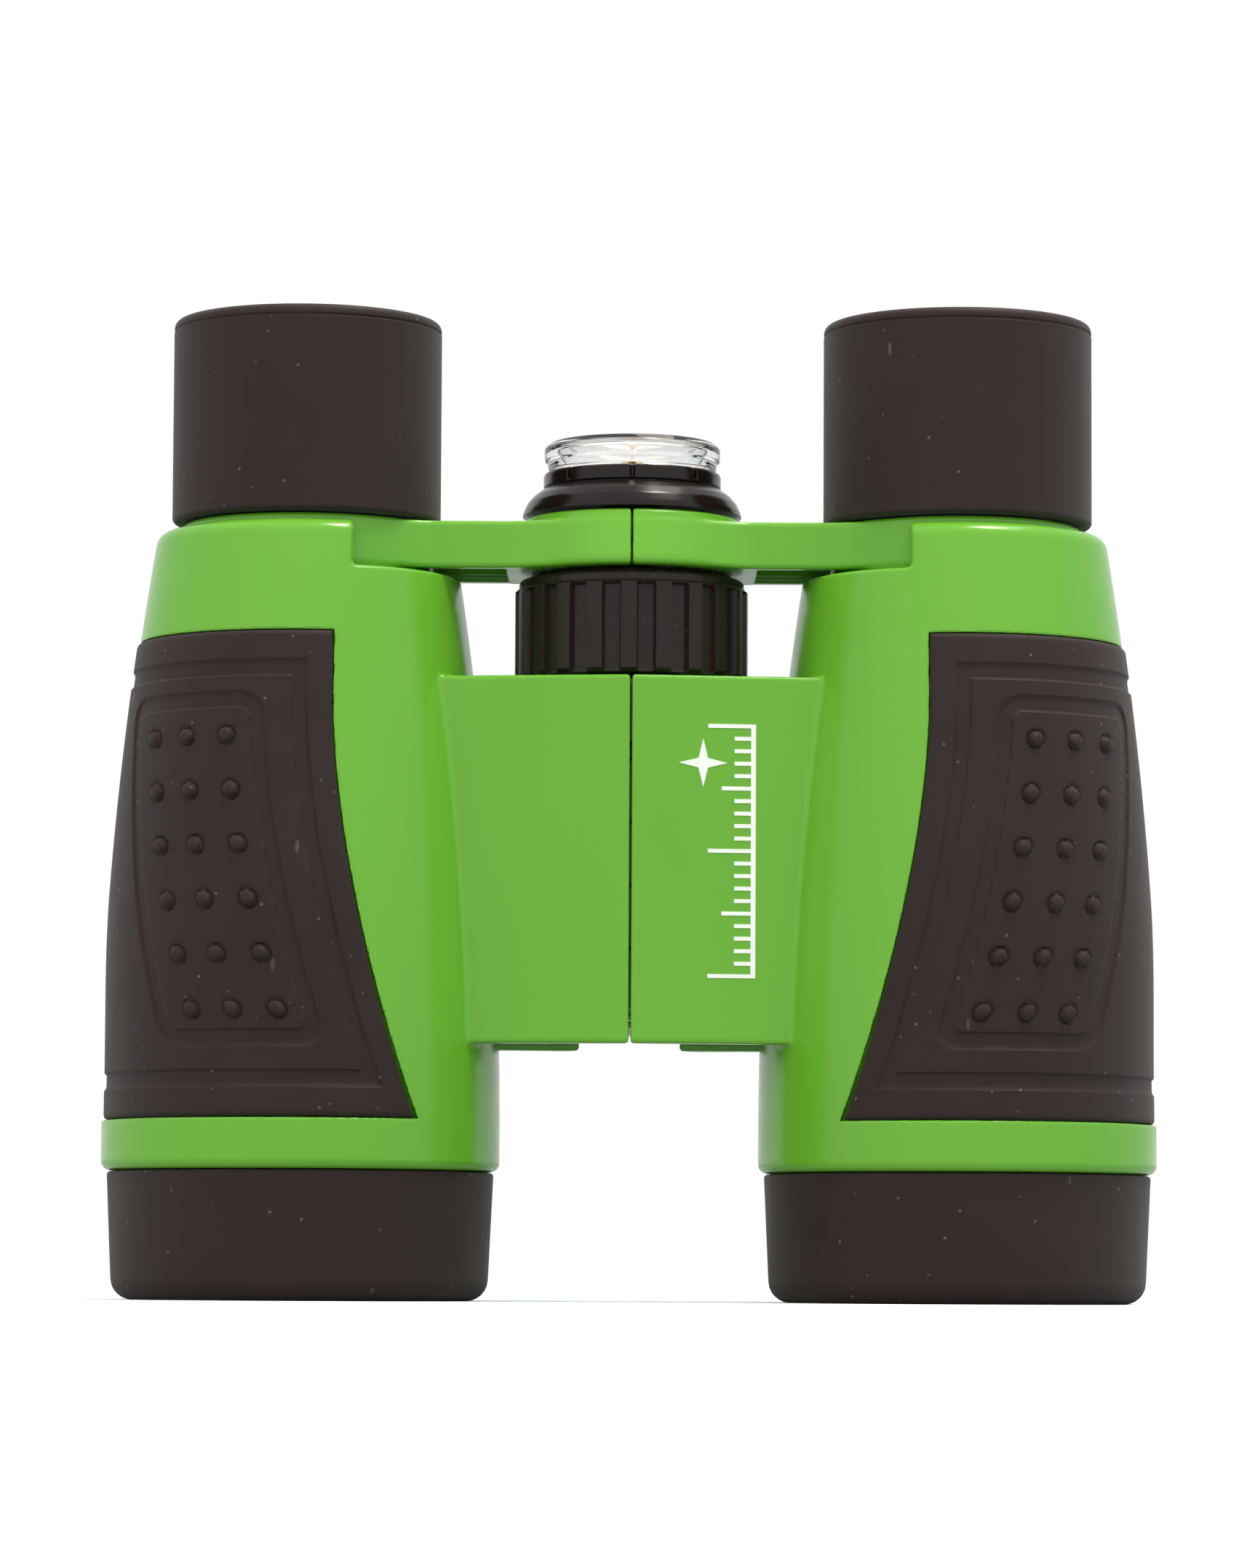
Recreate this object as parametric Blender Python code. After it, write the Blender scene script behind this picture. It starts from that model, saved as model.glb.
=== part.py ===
"""Child's centre-focus binoculars with a compass on the hinge, standing on the two objective rings.

Sizes are in millimetres and are scaled to metres when a mesh is made. X runs across the two barrels,
Z runs along them towards the eyecups, and the hinge axis is the Z axis. Front is -Y.
"""

import math

import bmesh
import bpy
from mathutils import Matrix

MM = 0.001
GAP = 0.3
MERGE = 1e-4

# Whole instrument
BARREL_OFFSET = 34.0
BARREL_BOTTOM = 13.3
BARREL_TOP = 80.0
FOCUS_TRAVEL = 5.0
FOLD_WEDGE = math.radians(28.0)

# Barrel shell
BARREL_RADIUS = 20.6
FOOT_CHAMFER = 0.6
TAPER_START = 17.0
TAPER_END = 77.5
TAPER_RATE = 0.00133
SHOULDER = ((15.0, 79.3), (13.9, BARREL_TOP))
SHELL = 2.6
BORE_WALL = (20.0, 70.0)
NECK_BORE = 13.1
NECK_BORE_BOTTOM = 71.0
NOTCH_OFFSET = 5.55
NOTCH_INNER_EDGE = 5.0
NOTCH_FLOOR = 74.9

# Rubber grip let into the barrel
GRIP_BOTTOM = 18.5
GRIP_TOP = 68.3
GRIP_PROUD = 0.3
GRIP_DEPTH = 0.9
GRIP_EDGE = 2.85
GRIP_FLARE_TOP = 61.0
GRIP_FLARE_RATE = 0.01335
GRIP_FLARE_POWER = 1.712

# Objective end
RING_RADIUS = 20.0
RING_MOUTH = 16.6
RING_FOOT = (17.0, 18.3)
RING_CORNER = ((19.3, 0.5), (19.65, 1.7))
CELL_RADIUS = 17.7
CELL_BORE = 15.9
CELL_BOTTOM = 2.3
CELL_TOP = 22.0
LENS_SEAT = 14.4
LENS_SEAT_HEIGHTS = (13.1, 14.4, 14.8)
LENS_RADIUS = 15.6
LENS_LOW_EDGE = 10.0
LENS_HIGH_EDGE = 12.6
LENS_BULGES = (1.1, 1.3)
RETAINER_BORE = 14.2
RETAINER_HEIGHTS = (7.5, 9.5)

# Eyepiece end
TUBE_RADIUS = 11.4
TUBE_BORE = 10.3
TUBE_BOTTOM = 52.0
TUBE_TOP = 94.0
TUBE_SEAT = 8.6
TUBE_SEAT_HEIGHTS = (82.0, 82.6, 84.2, 84.4)
BUSH_HEIGHTS = (64.0, 67.0)
NECK_RADIUS = 12.8
NECK_BOTTOM = 71.3
CUP_RADIUS = 14.0
CUP_BOTTOM = 80.7
CUP_TOP = 102.0
CUP_LIP = ((13.3, 0.0), (12.3, 0.0), (11.8, 0.8))
CUP_CORNER = 0.9
CUP_FUNNEL = (9.4, 96.4)
CUP_MOUTH = 9.2
EYE_LENS_RADIUS = 10.0
EYE_LENS_EDGES = (84.7, 88.3)
EYE_LENS_HOLLOW = 1.2
EYE_RETAINER_BORE = 8.2
EYE_RETAINER_HEIGHTS = (88.6, 90.4)

# Hinge between the barrels
PLATE_BOTTOM = 26.3
PLATE_TOP = 64.0
PLATE_FRONT = 12.9
PLATE_THICKNESS = 2.5
PLATE_SLOPE = 0.13
PLATE_REACH = 21.0
BACK_PLATE_EDGE = 5.1
BACK_PLATE_INSIDE = 9.5
KNUCKLE_RADIUS = 8.5
WEB_HALF_DEPTH = 6.0
KNUCKLE_HEIGHT = 6.2
LOWEST_KNUCKLE = 29.8
TOP_KNUCKLE = (57.4, 64.1)
PIN_RADIUS = 2.2
PIN_TOP = 55.3
PIN_HEAD_RADIUS = 4.0
PIN_HEAD_HEIGHT = 1.0
WASHER_RADIUS = 4.2
WASHER_THICKNESS = 0.7
JOURNAL_RADIUS = 5.0

# Focus bridge
ARM_BOTTOM = 75.5
ARM_TOP = 80.4
ARM_HALF_DEPTH = 7.5
ARM_INNER_END = 7.0
CHANNEL_SPAN = (14.2, 20.6)
CHANNEL_HALF_DEPTH = 5.7
CHANNEL_TOP = 78.6
HUB_BOTTOM = 75.6
HUB_TOP = 81.3
HUB_LOW_RADIUS = 12.8
HUB_HIGH_RADIUS = 11.3
DISC_SPLIT = 78.45
SCREW_RADIUS = 3.0
SCREW_BOTTOM = 58.0
SCREW_TOP = 83.2

# Focus wheel
WHEEL_RADIUS = 12.05
WHEEL_BOTTOM = 64.4
WHEEL_TOP = 75.3
WHEEL_CHAMFER = 0.5
WHEEL_TOP_RADIUS = 10.6
RIB_TOP = 73.2
WHEEL_RIBS = 21
RIB_HEIGHT = 0.6
SPIGOT_RADIUS = 4.2
SPIGOT_BOTTOM = 55.9
CLIP_RADIUS = 7.0
CLIP_BOTTOM = 56.1

# Compass
COMPASS_BOTTOM = 81.6
COMPASS_RING = (84.7, 86.2)
RING_BORE = 8.2
BASE_FLARE = ((11.2, COMPASS_BOTTOM), (11.4, 82.1), (11.1, 83.2), (10.4, 84.0))
BASE_TOP_RADIUS = 9.8
SCREW_POCKET_TOP = 83.5
BEZEL_RADIUS = 9.25
BEZEL_NOTCHES = 8
NOTCH_START = 8.8
NOTCH_HALF_WIDTH = 0.35
NOTCH_DEPTH = 0.7
DIAL_RADIUS = 7.9
DIAL_TOP = 85.4
PIVOT_RADIUS = 0.5
PIVOT_HEIGHTS = (85.7, 86.5)
NEEDLE_HALF_LENGTH = 7.2
NEEDLE_HALF_WIDTH = 1.1
NEEDLE_HEIGHTS = (86.9, 87.3)
BOSS_RADIUS = 1.3
BOSS_HEIGHTS = (86.8, 87.8)
CAP_RADIUS = 9.2
CAP_WALL = 0.9
CAP_ROOF = 0.8
CAP_TOP = 89.4

SIDES = {"left": -1, "right": 1}
ROUND = 28
SMALL_ROUND = 16
BOSS_ROUND = 20
PIVOT_ROUND = 12
KNUCKLE_STEPS = 14
GRIP_COLUMNS = 20
GRIP_ROWS = 5

# How far a cutter runs past what it cuts
BEYOND = 1.0
WELL_OUTSIDE = 30.0
SHARP = math.radians(35)

FINISHES = {
    "green_plastic": ((0.18, 0.47, 0.05, 1.0), 0.25, 0.0),
    "black_rubber": ((0.032, 0.024, 0.022, 1.0), 0.75, 0.0),
    "black_plastic": ((0.012, 0.010, 0.010, 1.0), 0.3, 0.0),
    "inner_plastic": ((0.02, 0.02, 0.02, 1.0), 0.6, 0.0),
    "clear_plastic": ((0.95, 0.96, 0.95, 1.0), 0.05, 0.0),
    "lens": ((0.8, 0.85, 0.95, 1.0), 0.02, 0.0),
    "steel": ((0.6, 0.6, 0.6, 1.0), 0.3, 1.0),
    "brass": ((0.7, 0.5, 0.2, 1.0), 0.3, 1.0),
    "dial_card": ((0.85, 0.85, 0.82, 1.0), 0.6, 0.0),
    "needle_paint": ((0.7, 0.05, 0.04, 1.0), 0.4, 0.0),
}


# ---- mesh helpers -------------------------------------------------------------------------------


def turned(profile, x=0.0, segments=ROUND, serration=None):
    """A solid of revolution about the vertical line through x, from a closed (radius, height) outline.

    serration is (depth, lowest, highest): every second column of the widest points between the two
    heights is pulled in by depth.
    """
    shape = bmesh.new()
    rim = [shape.verts.new((radius, 0.0, height)) for radius, height in profile]
    edges = [shape.edges.new((a, b)) for a, b in zip(rim, rim[1:] + rim[:1])]
    # An edge that lies on the axis would sweep out nothing.
    on_axis = [edge for edge in edges if all(abs(vert.co.x) < MERGE for vert in edge.verts)]
    bmesh.ops.delete(shape, geom=on_axis, context="EDGES_FACES")
    bmesh.ops.spin(
        shape,
        geom=shape.verts[:] + shape.edges[:],
        cent=(0, 0, 0),
        axis=(0, 0, 1),
        angle=math.tau,
        steps=segments,
        use_merge=True,
    )
    bmesh.ops.remove_doubles(shape, verts=shape.verts, dist=MERGE)
    if serration:
        pull_in_every_second_column(shape, segments, *serration)
    bmesh.ops.recalc_face_normals(shape, faces=shape.faces)
    bmesh.ops.translate(shape, verts=shape.verts, vec=(x, 0, 0))
    return shape


def pull_in_every_second_column(shape, segments, depth, lowest, highest):
    widest = max(vert.co.xy.length for vert in shape.verts)
    for vert in shape.verts:
        column = round(math.atan2(vert.co.y, vert.co.x) / math.tau * segments)
        ribbed = vert.co.xy.length > widest - depth and lowest - MERGE < vert.co.z < highest + MERGE
        if ribbed and column % 2:
            vert.co.xy *= (widest - depth) / widest


def cylinder(radius, bottom, top, x=0.0, segments=ROUND):
    return turned([(0, bottom), (radius, bottom), (radius, top), (0, top)], x, segments)


def ring(inner, outer, bottom, top, x=0.0, segments=ROUND):
    return turned([(inner, bottom), (outer, bottom), (outer, top), (inner, top)], x, segments)


def prism(outline, bottom, top):
    """An (x, y) outline, extruded between two heights."""
    shape = bmesh.new()
    base = shape.faces.new([shape.verts.new((x, y, bottom)) for x, y in outline])
    raised = bmesh.ops.extrude_face_region(shape, geom=[base])["geom"]
    bmesh.ops.translate(
        shape,
        verts=[item for item in raised if isinstance(item, bmesh.types.BMVert)],
        vec=(0, 0, top - bottom),
    )
    bmesh.ops.recalc_face_normals(shape, faces=shape.faces)
    return shape


def block(x_range, y_range, z_range):
    x0, x1 = sorted(x_range)
    y0, y1 = y_range
    return prism([(x0, y0), (x1, y0), (x1, y1), (x0, y1)], *z_range)


def arc(radius, start, end, steps):
    """Points on an arc about the hinge axis, angles in radians."""
    angles = [start + (end - start) * step / steps for step in range(steps + 1)]
    return [(radius * math.cos(angle), radius * math.sin(angle)) for angle in angles]


def closed_grid(outside, inside):
    """A curved plate between two equal grids of points."""
    shape = bmesh.new()
    skins = [[[shape.verts.new(point) for point in row] for row in grid] for grid in (outside, inside)]
    for skin in skins:
        for low, high in zip(skin, skin[1:]):
            for column in range(len(low) - 1):
                shape.faces.new((low[column], low[column + 1], high[column + 1], high[column]))
    outer_rim, inner_rim = (border(skin) for skin in skins)
    for step in range(len(outer_rim)):
        following = (step + 1) % len(outer_rim)
        shape.faces.new((outer_rim[step], outer_rim[following], inner_rim[following], inner_rim[step]))
    bmesh.ops.recalc_face_normals(shape, faces=shape.faces)
    return shape


def border(skin):
    """The points round the edge of a grid, in order."""
    right = [row[-1] for row in skin[1:-1]]
    left = [row[0] for row in skin[-2:0:-1]]
    return skin[0] + right + skin[-1][::-1] + left


# ---- object helpers -----------------------------------------------------------------------------


def material(finish):
    if finish in bpy.data.materials:
        return bpy.data.materials[finish]
    colour, roughness, metallic = FINISHES[finish]
    made = bpy.data.materials.new(finish)
    made.use_nodes = True
    shader = made.node_tree.nodes["Principled BSDF"]
    shader.inputs["Base Color"].default_value = colour
    shader.inputs["Roughness"].default_value = roughness
    shader.inputs["Metallic"].default_value = metallic
    made.diffuse_color = colour
    return made


def solid(name, shape, finish, origin=(0.0, 0.0, 0.0)):
    """An object made from a shape, with its origin where it turns or slides."""
    bmesh.ops.translate(shape, verts=shape.verts, vec=[-value for value in origin])
    mesh = bpy.data.meshes.new(name)
    shape.to_mesh(mesh)
    shape.free()
    made = bpy.data.objects.new(name, mesh)
    made.location = origin
    bpy.context.scene.collection.objects.link(made)
    mesh.materials.append(material(finish))
    mesh.shade_smooth()
    mesh.set_sharp_from_angle(angle=SHARP)
    return made


def combine(target, operation, shapes):
    """Joins shapes to the target, or cuts them from it, one after another."""
    for shape in shapes:
        tool = solid("tool", shape, "inner_plastic")
        modifier = target.modifiers.new(operation, "BOOLEAN")
        modifier.object = tool
        modifier.operation = operation
        bpy.context.view_layer.update()
        graph = bpy.context.evaluated_depsgraph_get()
        result = bpy.data.meshes.new_from_object(target.evaluated_get(graph))
        target.modifiers.clear()
        target.data = result
        bpy.data.objects.remove(tool)
        split_into_triangles(result)
    target.data.set_sharp_from_angle(angle=SHARP)


def split_into_triangles(mesh):
    """Faces with holes in them confuse the next cut, so each face becomes triangles."""
    shape = bmesh.new()
    shape.from_mesh(mesh)
    bmesh.ops.remove_doubles(shape, verts=shape.verts, dist=MERGE)
    bmesh.ops.triangulate(shape, faces=shape.faces)
    shape.to_mesh(mesh)
    shape.free()


def to_metres():
    for obj in bpy.context.scene.objects:
        obj.data.transform(Matrix.Scale(MM, 4))
        obj.location *= MM


# ---- barrels ------------------------------------------------------------------------------------


def barrel_radius(height):
    """The outside of the barrel, which narrows towards the eyepiece ever faster."""
    return BARREL_RADIUS - TAPER_RATE * max(0.0, height - TAPER_START) ** 2


def grip_edge(height):
    """How far inboard of the barrel's axis the grip ends."""
    below = max(0.0, GRIP_FLARE_TOP - height)
    return GRIP_EDGE + GRIP_FLARE_RATE * below**GRIP_FLARE_POWER


def heights(bottom, top, steps):
    return [bottom + (top - bottom) * step / steps for step in range(steps + 1)]


def grip_shape(side, depth, proud, margin):
    """A plate wrapped round the outboard side of a barrel."""
    grids = []
    for offset in (proud, -depth):
        grid = []
        for height in heights(GRIP_BOTTOM - margin, GRIP_TOP + margin, GRIP_ROWS):
            radius = barrel_radius(height) + offset
            reach = math.acos(-(grip_edge(height) + margin) / barrel_radius(height))
            angles = [reach * (2 * step / GRIP_COLUMNS - 1) for step in range(GRIP_COLUMNS + 1)]
            grid.append(
                [
                    (side * (BARREL_OFFSET + radius * math.cos(angle)), radius * math.sin(angle), height)
                    for angle in angles
                ]
            )
        grids.append(grid)
    return closed_grid(*grids)


def barrel_blank():
    """The outline of the barrel without its bore: radius and height, bottom to top."""
    foot = [
        (0, BARREL_BOTTOM),
        (BARREL_RADIUS - FOOT_CHAMFER, BARREL_BOTTOM),
        (BARREL_RADIUS, BARREL_BOTTOM + FOOT_CHAMFER),
    ]
    wall = [(barrel_radius(height), height) for height in heights(TAPER_START, TAPER_END, 5)]
    return foot + wall + list(SHOULDER) + [(0, BARREL_TOP)]


def barrel_bore():
    """The hollow of the barrel, with the narrower neck that the eyepiece slides in."""
    wall = [(barrel_radius(height) - SHELL, height) for height in heights(*BORE_WALL, 3)]
    foot = [(0, BARREL_BOTTOM - BEYOND), (wall[0][0], BARREL_BOTTOM - BEYOND)]
    top = BARREL_TOP + BEYOND
    neck = [(NECK_BORE, NECK_BORE_BOTTOM), (NECK_BORE, top), (0, top)]
    return foot + wall + neck


def knuckle_ranges(side):
    """The heights between which this half has hinge knuckles; the halves take turns."""
    pitch = KNUCKLE_HEIGHT + GAP
    low = [LOWEST_KNUCKLE + pitch * place for place in range(4)]
    plain = [(bottom, bottom + KNUCKLE_HEIGHT) for bottom in low]
    return [plain[0], plain[2], TOP_KNUCKLE] if side < 0 else [plain[1], plain[3]]


def knuckle_outline(side):
    """A round knuckle with a web to the barrel, seen from above."""
    start = math.asin(WEB_HALF_DEPTH / KNUCKLE_RADIUS)
    nose = arc(KNUCKLE_RADIUS, math.pi - start, start - math.pi, KNUCKLE_STEPS)
    web = [(-PLATE_REACH, -WEB_HALF_DEPTH), (-PLATE_REACH, WEB_HALF_DEPTH)]
    return [(-side * x, y) for x, y in nose + web]


def plate_outlines(side):
    """The front plate, which reaches the seam, and the rear plate, which leaves room to fold."""
    seam = GAP / 2
    drop = PLATE_SLOPE * PLATE_REACH
    front = [
        (seam, -PLATE_FRONT),
        (PLATE_REACH, drop - PLATE_FRONT),
        (PLATE_REACH, drop - PLATE_FRONT + PLATE_THICKNESS),
        (seam, PLATE_THICKNESS - PLATE_FRONT),
    ]
    radial = BACK_PLATE_EDGE / BACK_PLATE_INSIDE
    outside = BACK_PLATE_INSIDE + PLATE_THICKNESS
    rear = [
        (BACK_PLATE_EDGE, BACK_PLATE_INSIDE),
        (outside * radial, outside),
        (PLATE_REACH, PLATE_FRONT - drop),
        (PLATE_REACH, PLATE_FRONT - drop - PLATE_THICKNESS),
    ]
    return [[(side * x, y) for x, y in outline] for outline in (front, rear)]


def build_barrel(name, side):
    x = side * BARREL_OFFSET
    barrel = solid(f"barrel_{name}", turned(barrel_blank(), x), "green_plastic")
    plates = [prism(outline, PLATE_BOTTOM, PLATE_TOP) for outline in plate_outlines(side)]
    knuckles = [prism(knuckle_outline(side), *span) for span in knuckle_ranges(side)]
    combine(barrel, "UNION", plates + knuckles)
    bottom, step, top = LOWEST_KNUCKLE - BEYOND, TOP_KNUCKLE[0] - BEYOND, TOP_KNUCKLE[1] + BEYOND
    pin_bore = [
        (0, bottom),
        (PIN_RADIUS + GAP, bottom),
        (PIN_RADIUS + GAP, step),
        (JOURNAL_RADIUS + GAP, step),
        (JOURNAL_RADIUS + GAP, top),
        (0, top),
    ]
    notch = block(
        (side * NOTCH_INNER_EDGE, side * (BARREL_OFFSET - NOTCH_OFFSET)),
        (-WELL_OUTSIDE, WELL_OUTSIDE),
        (NOTCH_FLOOR, BARREL_TOP + 2),
    )
    combine(
        barrel,
        "DIFFERENCE",
        [
            turned(barrel_bore(), x),
            turned(pin_bore, 0.0, SMALL_ROUND),
            notch,
            grip_shape(side, GRIP_DEPTH + GAP, GRIP_PROUD + BEYOND, GAP),
        ],
    )


# ---- optics and rubber --------------------------------------------------------------------------


def lens_profile(radius, low_edge, high_edge, low_bulge, high_bulge):
    """A lens outline: each face is a shallow arc, and a negative bulge is hollow."""
    fractions = (0.0, 0.5, 0.8, 1.0)
    low = [(radius * part, low_edge - low_bulge * (1 - part**2)) for part in fractions]
    high = [(radius * part, high_edge + high_bulge * (1 - part**2)) for part in reversed(fractions)]
    return low + high


def build_objective(name, side):
    x = side * BARREL_OFFSET
    rubber = [
        (RING_MOUTH, 1.0),
        (RING_FOOT[0], 0.0),
        (RING_FOOT[1], 0.0),
        *RING_CORNER,
        (RING_RADIUS, BARREL_BOTTOM - GAP),
        (CELL_RADIUS + GAP, BARREL_BOTTOM - GAP),
        (CELL_RADIUS + GAP, CELL_BOTTOM - GAP),
        (RING_MOUTH, CELL_BOTTOM - GAP),
    ]
    seat_low, seat_high, seat_slope = LENS_SEAT_HEIGHTS
    cell = [
        (CELL_BORE, CELL_BOTTOM),
        (CELL_RADIUS, CELL_BOTTOM),
        (CELL_RADIUS, CELL_TOP),
        (CELL_BORE, CELL_TOP),
        (CELL_BORE, seat_slope),
        (LENS_SEAT, seat_high),
        (LENS_SEAT, seat_low),
        (CELL_BORE, seat_low),
    ]
    lens = lens_profile(LENS_RADIUS, LENS_LOW_EDGE, LENS_HIGH_EDGE, *LENS_BULGES)
    retainer = ring(RETAINER_BORE, LENS_RADIUS, *RETAINER_HEIGHTS, x)
    solid(f"objective_ring_{name}", turned(rubber, x), "black_rubber")
    solid(f"objective_cell_{name}", turned(cell, x), "inner_plastic")
    solid(f"objective_lens_{name}", turned(lens, x), "lens")
    solid(f"objective_retainer_{name}", retainer, "inner_plastic")


def build_grip(name, side):
    solid(f"grip_{name}", grip_shape(side, GRIP_DEPTH, GRIP_PROUD, 0.0), "black_rubber")


def build_eyepiece(name, side):
    x = side * BARREL_OFFSET
    low_slope, seat_low, seat_high, high_slope = TUBE_SEAT_HEIGHTS
    tube = [
        (TUBE_BORE, TUBE_BOTTOM),
        (TUBE_RADIUS, TUBE_BOTTOM),
        (TUBE_RADIUS, TUBE_TOP),
        (TUBE_BORE, TUBE_TOP),
        (TUBE_BORE, high_slope),
        (TUBE_SEAT, seat_high),
        (TUBE_SEAT, seat_low),
        (TUBE_BORE, low_slope),
    ]
    cup = [
        (TUBE_RADIUS + GAP, CUP_BOTTOM),
        (CUP_RADIUS, CUP_BOTTOM),
        (CUP_RADIUS, CUP_TOP - CUP_CORNER),
        *[(radius, CUP_TOP - drop) for radius, drop in CUP_LIP],
        CUP_FUNNEL,
        (CUP_MOUTH, TUBE_TOP + GAP),
        (TUBE_RADIUS + GAP, TUBE_TOP + GAP),
    ]
    lens = lens_profile(EYE_LENS_RADIUS, *EYE_LENS_EDGES, -EYE_LENS_HOLLOW, -EYE_LENS_HOLLOW)
    retainer = ring(EYE_RETAINER_BORE, EYE_LENS_RADIUS, *EYE_RETAINER_HEIGHTS, x)
    bush_bottom, bush_top = BUSH_HEIGHTS
    bush_radius = barrel_radius(bush_top) - SHELL - GAP
    bush = ring(TUBE_RADIUS + GAP, bush_radius, bush_bottom, bush_top, x)
    origin = (x, 0.0, CUP_BOTTOM)
    solid(f"guide_bush_{name}", bush, "inner_plastic")
    solid(f"eyepiece_tube_{name}", turned(tube, x), "black_plastic", origin)
    solid(f"eye_lens_{name}", turned(lens, x, SMALL_ROUND), "lens", origin)
    solid(f"eye_lens_retainer_{name}", retainer, "black_plastic", origin)
    solid(f"eyecup_{name}", turned(cup, x), "black_rubber", origin)


# ---- hinge and focus drive ----------------------------------------------------------------------


def build_hinge_hardware():
    washer_top = LOWEST_KNUCKLE - GAP
    washer_bottom = washer_top - WASHER_THICKNESS
    head_top = washer_bottom - GAP
    pin = [
        (0, head_top - PIN_HEAD_HEIGHT),
        (PIN_HEAD_RADIUS, head_top - PIN_HEAD_HEIGHT),
        (PIN_HEAD_RADIUS, head_top),
        (PIN_RADIUS, head_top),
        (PIN_RADIUS, PIN_TOP),
        (0, PIN_TOP),
    ]
    washer = ring(PIN_RADIUS + GAP, WASHER_RADIUS, washer_bottom, washer_top, 0.0, SMALL_ROUND)
    solid("hinge_pin", turned(pin, 0.0, SMALL_ROUND), "steel")
    solid("hinge_washer", washer, "steel")


def build_focus_wheel():
    bore = SCREW_RADIUS + GAP
    wheel = [
        (bore, SPIGOT_BOTTOM),
        (SPIGOT_RADIUS, SPIGOT_BOTTOM),
        (SPIGOT_RADIUS, TOP_KNUCKLE[0] + GAP),
        (JOURNAL_RADIUS, TOP_KNUCKLE[0] + GAP),
        (JOURNAL_RADIUS, WHEEL_BOTTOM),
        (WHEEL_RADIUS - WHEEL_CHAMFER, WHEEL_BOTTOM),
        (WHEEL_RADIUS, WHEEL_BOTTOM + WHEEL_CHAMFER),
        (WHEEL_RADIUS, RIB_TOP),
        (WHEEL_TOP_RADIUS, WHEEL_TOP),
        (bore, WHEEL_TOP),
    ]
    serration = (RIB_HEIGHT, WHEEL_BOTTOM + WHEEL_CHAMFER, RIB_TOP)
    shape = turned(wheel, 0.0, 2 * WHEEL_RIBS, serration)
    solid("focus_wheel", shape, "black_plastic", (0, 0, WHEEL_BOTTOM))
    clip = ring(SPIGOT_RADIUS + GAP, CLIP_RADIUS, CLIP_BOTTOM, TOP_KNUCKLE[0] - GAP, 0.0, SMALL_ROUND)
    solid("wheel_clip", clip, "steel", (0, 0, WHEEL_BOTTOM))
    rod = cylinder(SCREW_RADIUS, SCREW_BOTTOM, SCREW_TOP, 0.0, SMALL_ROUND)
    solid("focus_screw", rod, "steel", (0, 0, HUB_BOTTOM))


def build_bridge_arm(name, side):
    """One half of the focus bridge: its share of the hub, the bar and the neck round the eyepiece."""
    x = side * BARREL_OFFSET
    hub = [(0, HUB_BOTTOM), (HUB_LOW_RADIUS, HUB_BOTTOM), (HUB_HIGH_RADIUS, HUB_TOP), (0, HUB_TOP)]
    arm = solid(f"bridge_arm_{name}", turned(hub), "green_plastic")
    low, high = HUB_BOTTOM - BEYOND, HUB_TOP + BEYOND
    far_side = block((side * GAP / 2, side * -WELL_OUTSIDE), (-WELL_OUTSIDE, WELL_OUTSIDE), (low, high))
    back = math.pi / 2
    wedge_outline = [(0.0, 0.0)] + arc(WELL_OUTSIDE, back - FOLD_WEDGE, back + FOLD_WEDGE, 1)
    combine(arm, "DIFFERENCE", [far_side, prism(wedge_outline, low, high)])
    bar = block((side * ARM_INNER_END, x), (-ARM_HALF_DEPTH, ARM_HALF_DEPTH), (ARM_BOTTOM, ARM_TOP))
    combine(arm, "UNION", [bar, cylinder(NECK_RADIUS, NECK_BOTTOM, ARM_TOP, x)])
    lower = (HUB_BOTTOM, DISC_SPLIT - GAP / 2)
    upper = (DISC_SPLIT + GAP / 2, HUB_TOP)
    own, other = (lower, upper) if side < 0 else (upper, lower)
    # The other half's disc turns in this room.
    room_bottom = low if other is lower else other[0] - GAP
    room_top = high if other is upper else other[1] + GAP
    room = cylinder(KNUCKLE_RADIUS + GAP, room_bottom, room_top, 0.0, BOSS_ROUND)
    combine(arm, "DIFFERENCE", [room])
    combine(arm, "UNION", [cylinder(KNUCKLE_RADIUS, *own, 0.0, BOSS_ROUND)])
    tube_bore = cylinder(TUBE_RADIUS + GAP, NECK_BOTTOM - BEYOND, ARM_TOP + BEYOND, x)
    screw_bore = cylinder(SCREW_RADIUS + GAP, low, high, 0.0, SMALL_ROUND)
    # The bar is hollow underneath, as moulded plastic is.
    channel = block(
        [side * end for end in CHANNEL_SPAN],
        (-CHANNEL_HALF_DEPTH, CHANNEL_HALF_DEPTH),
        (ARM_BOTTOM - BEYOND, CHANNEL_TOP),
    )
    combine(arm, "DIFFERENCE", [tube_bore, screw_bore, channel])


# ---- compass ------------------------------------------------------------------------------------


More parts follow.
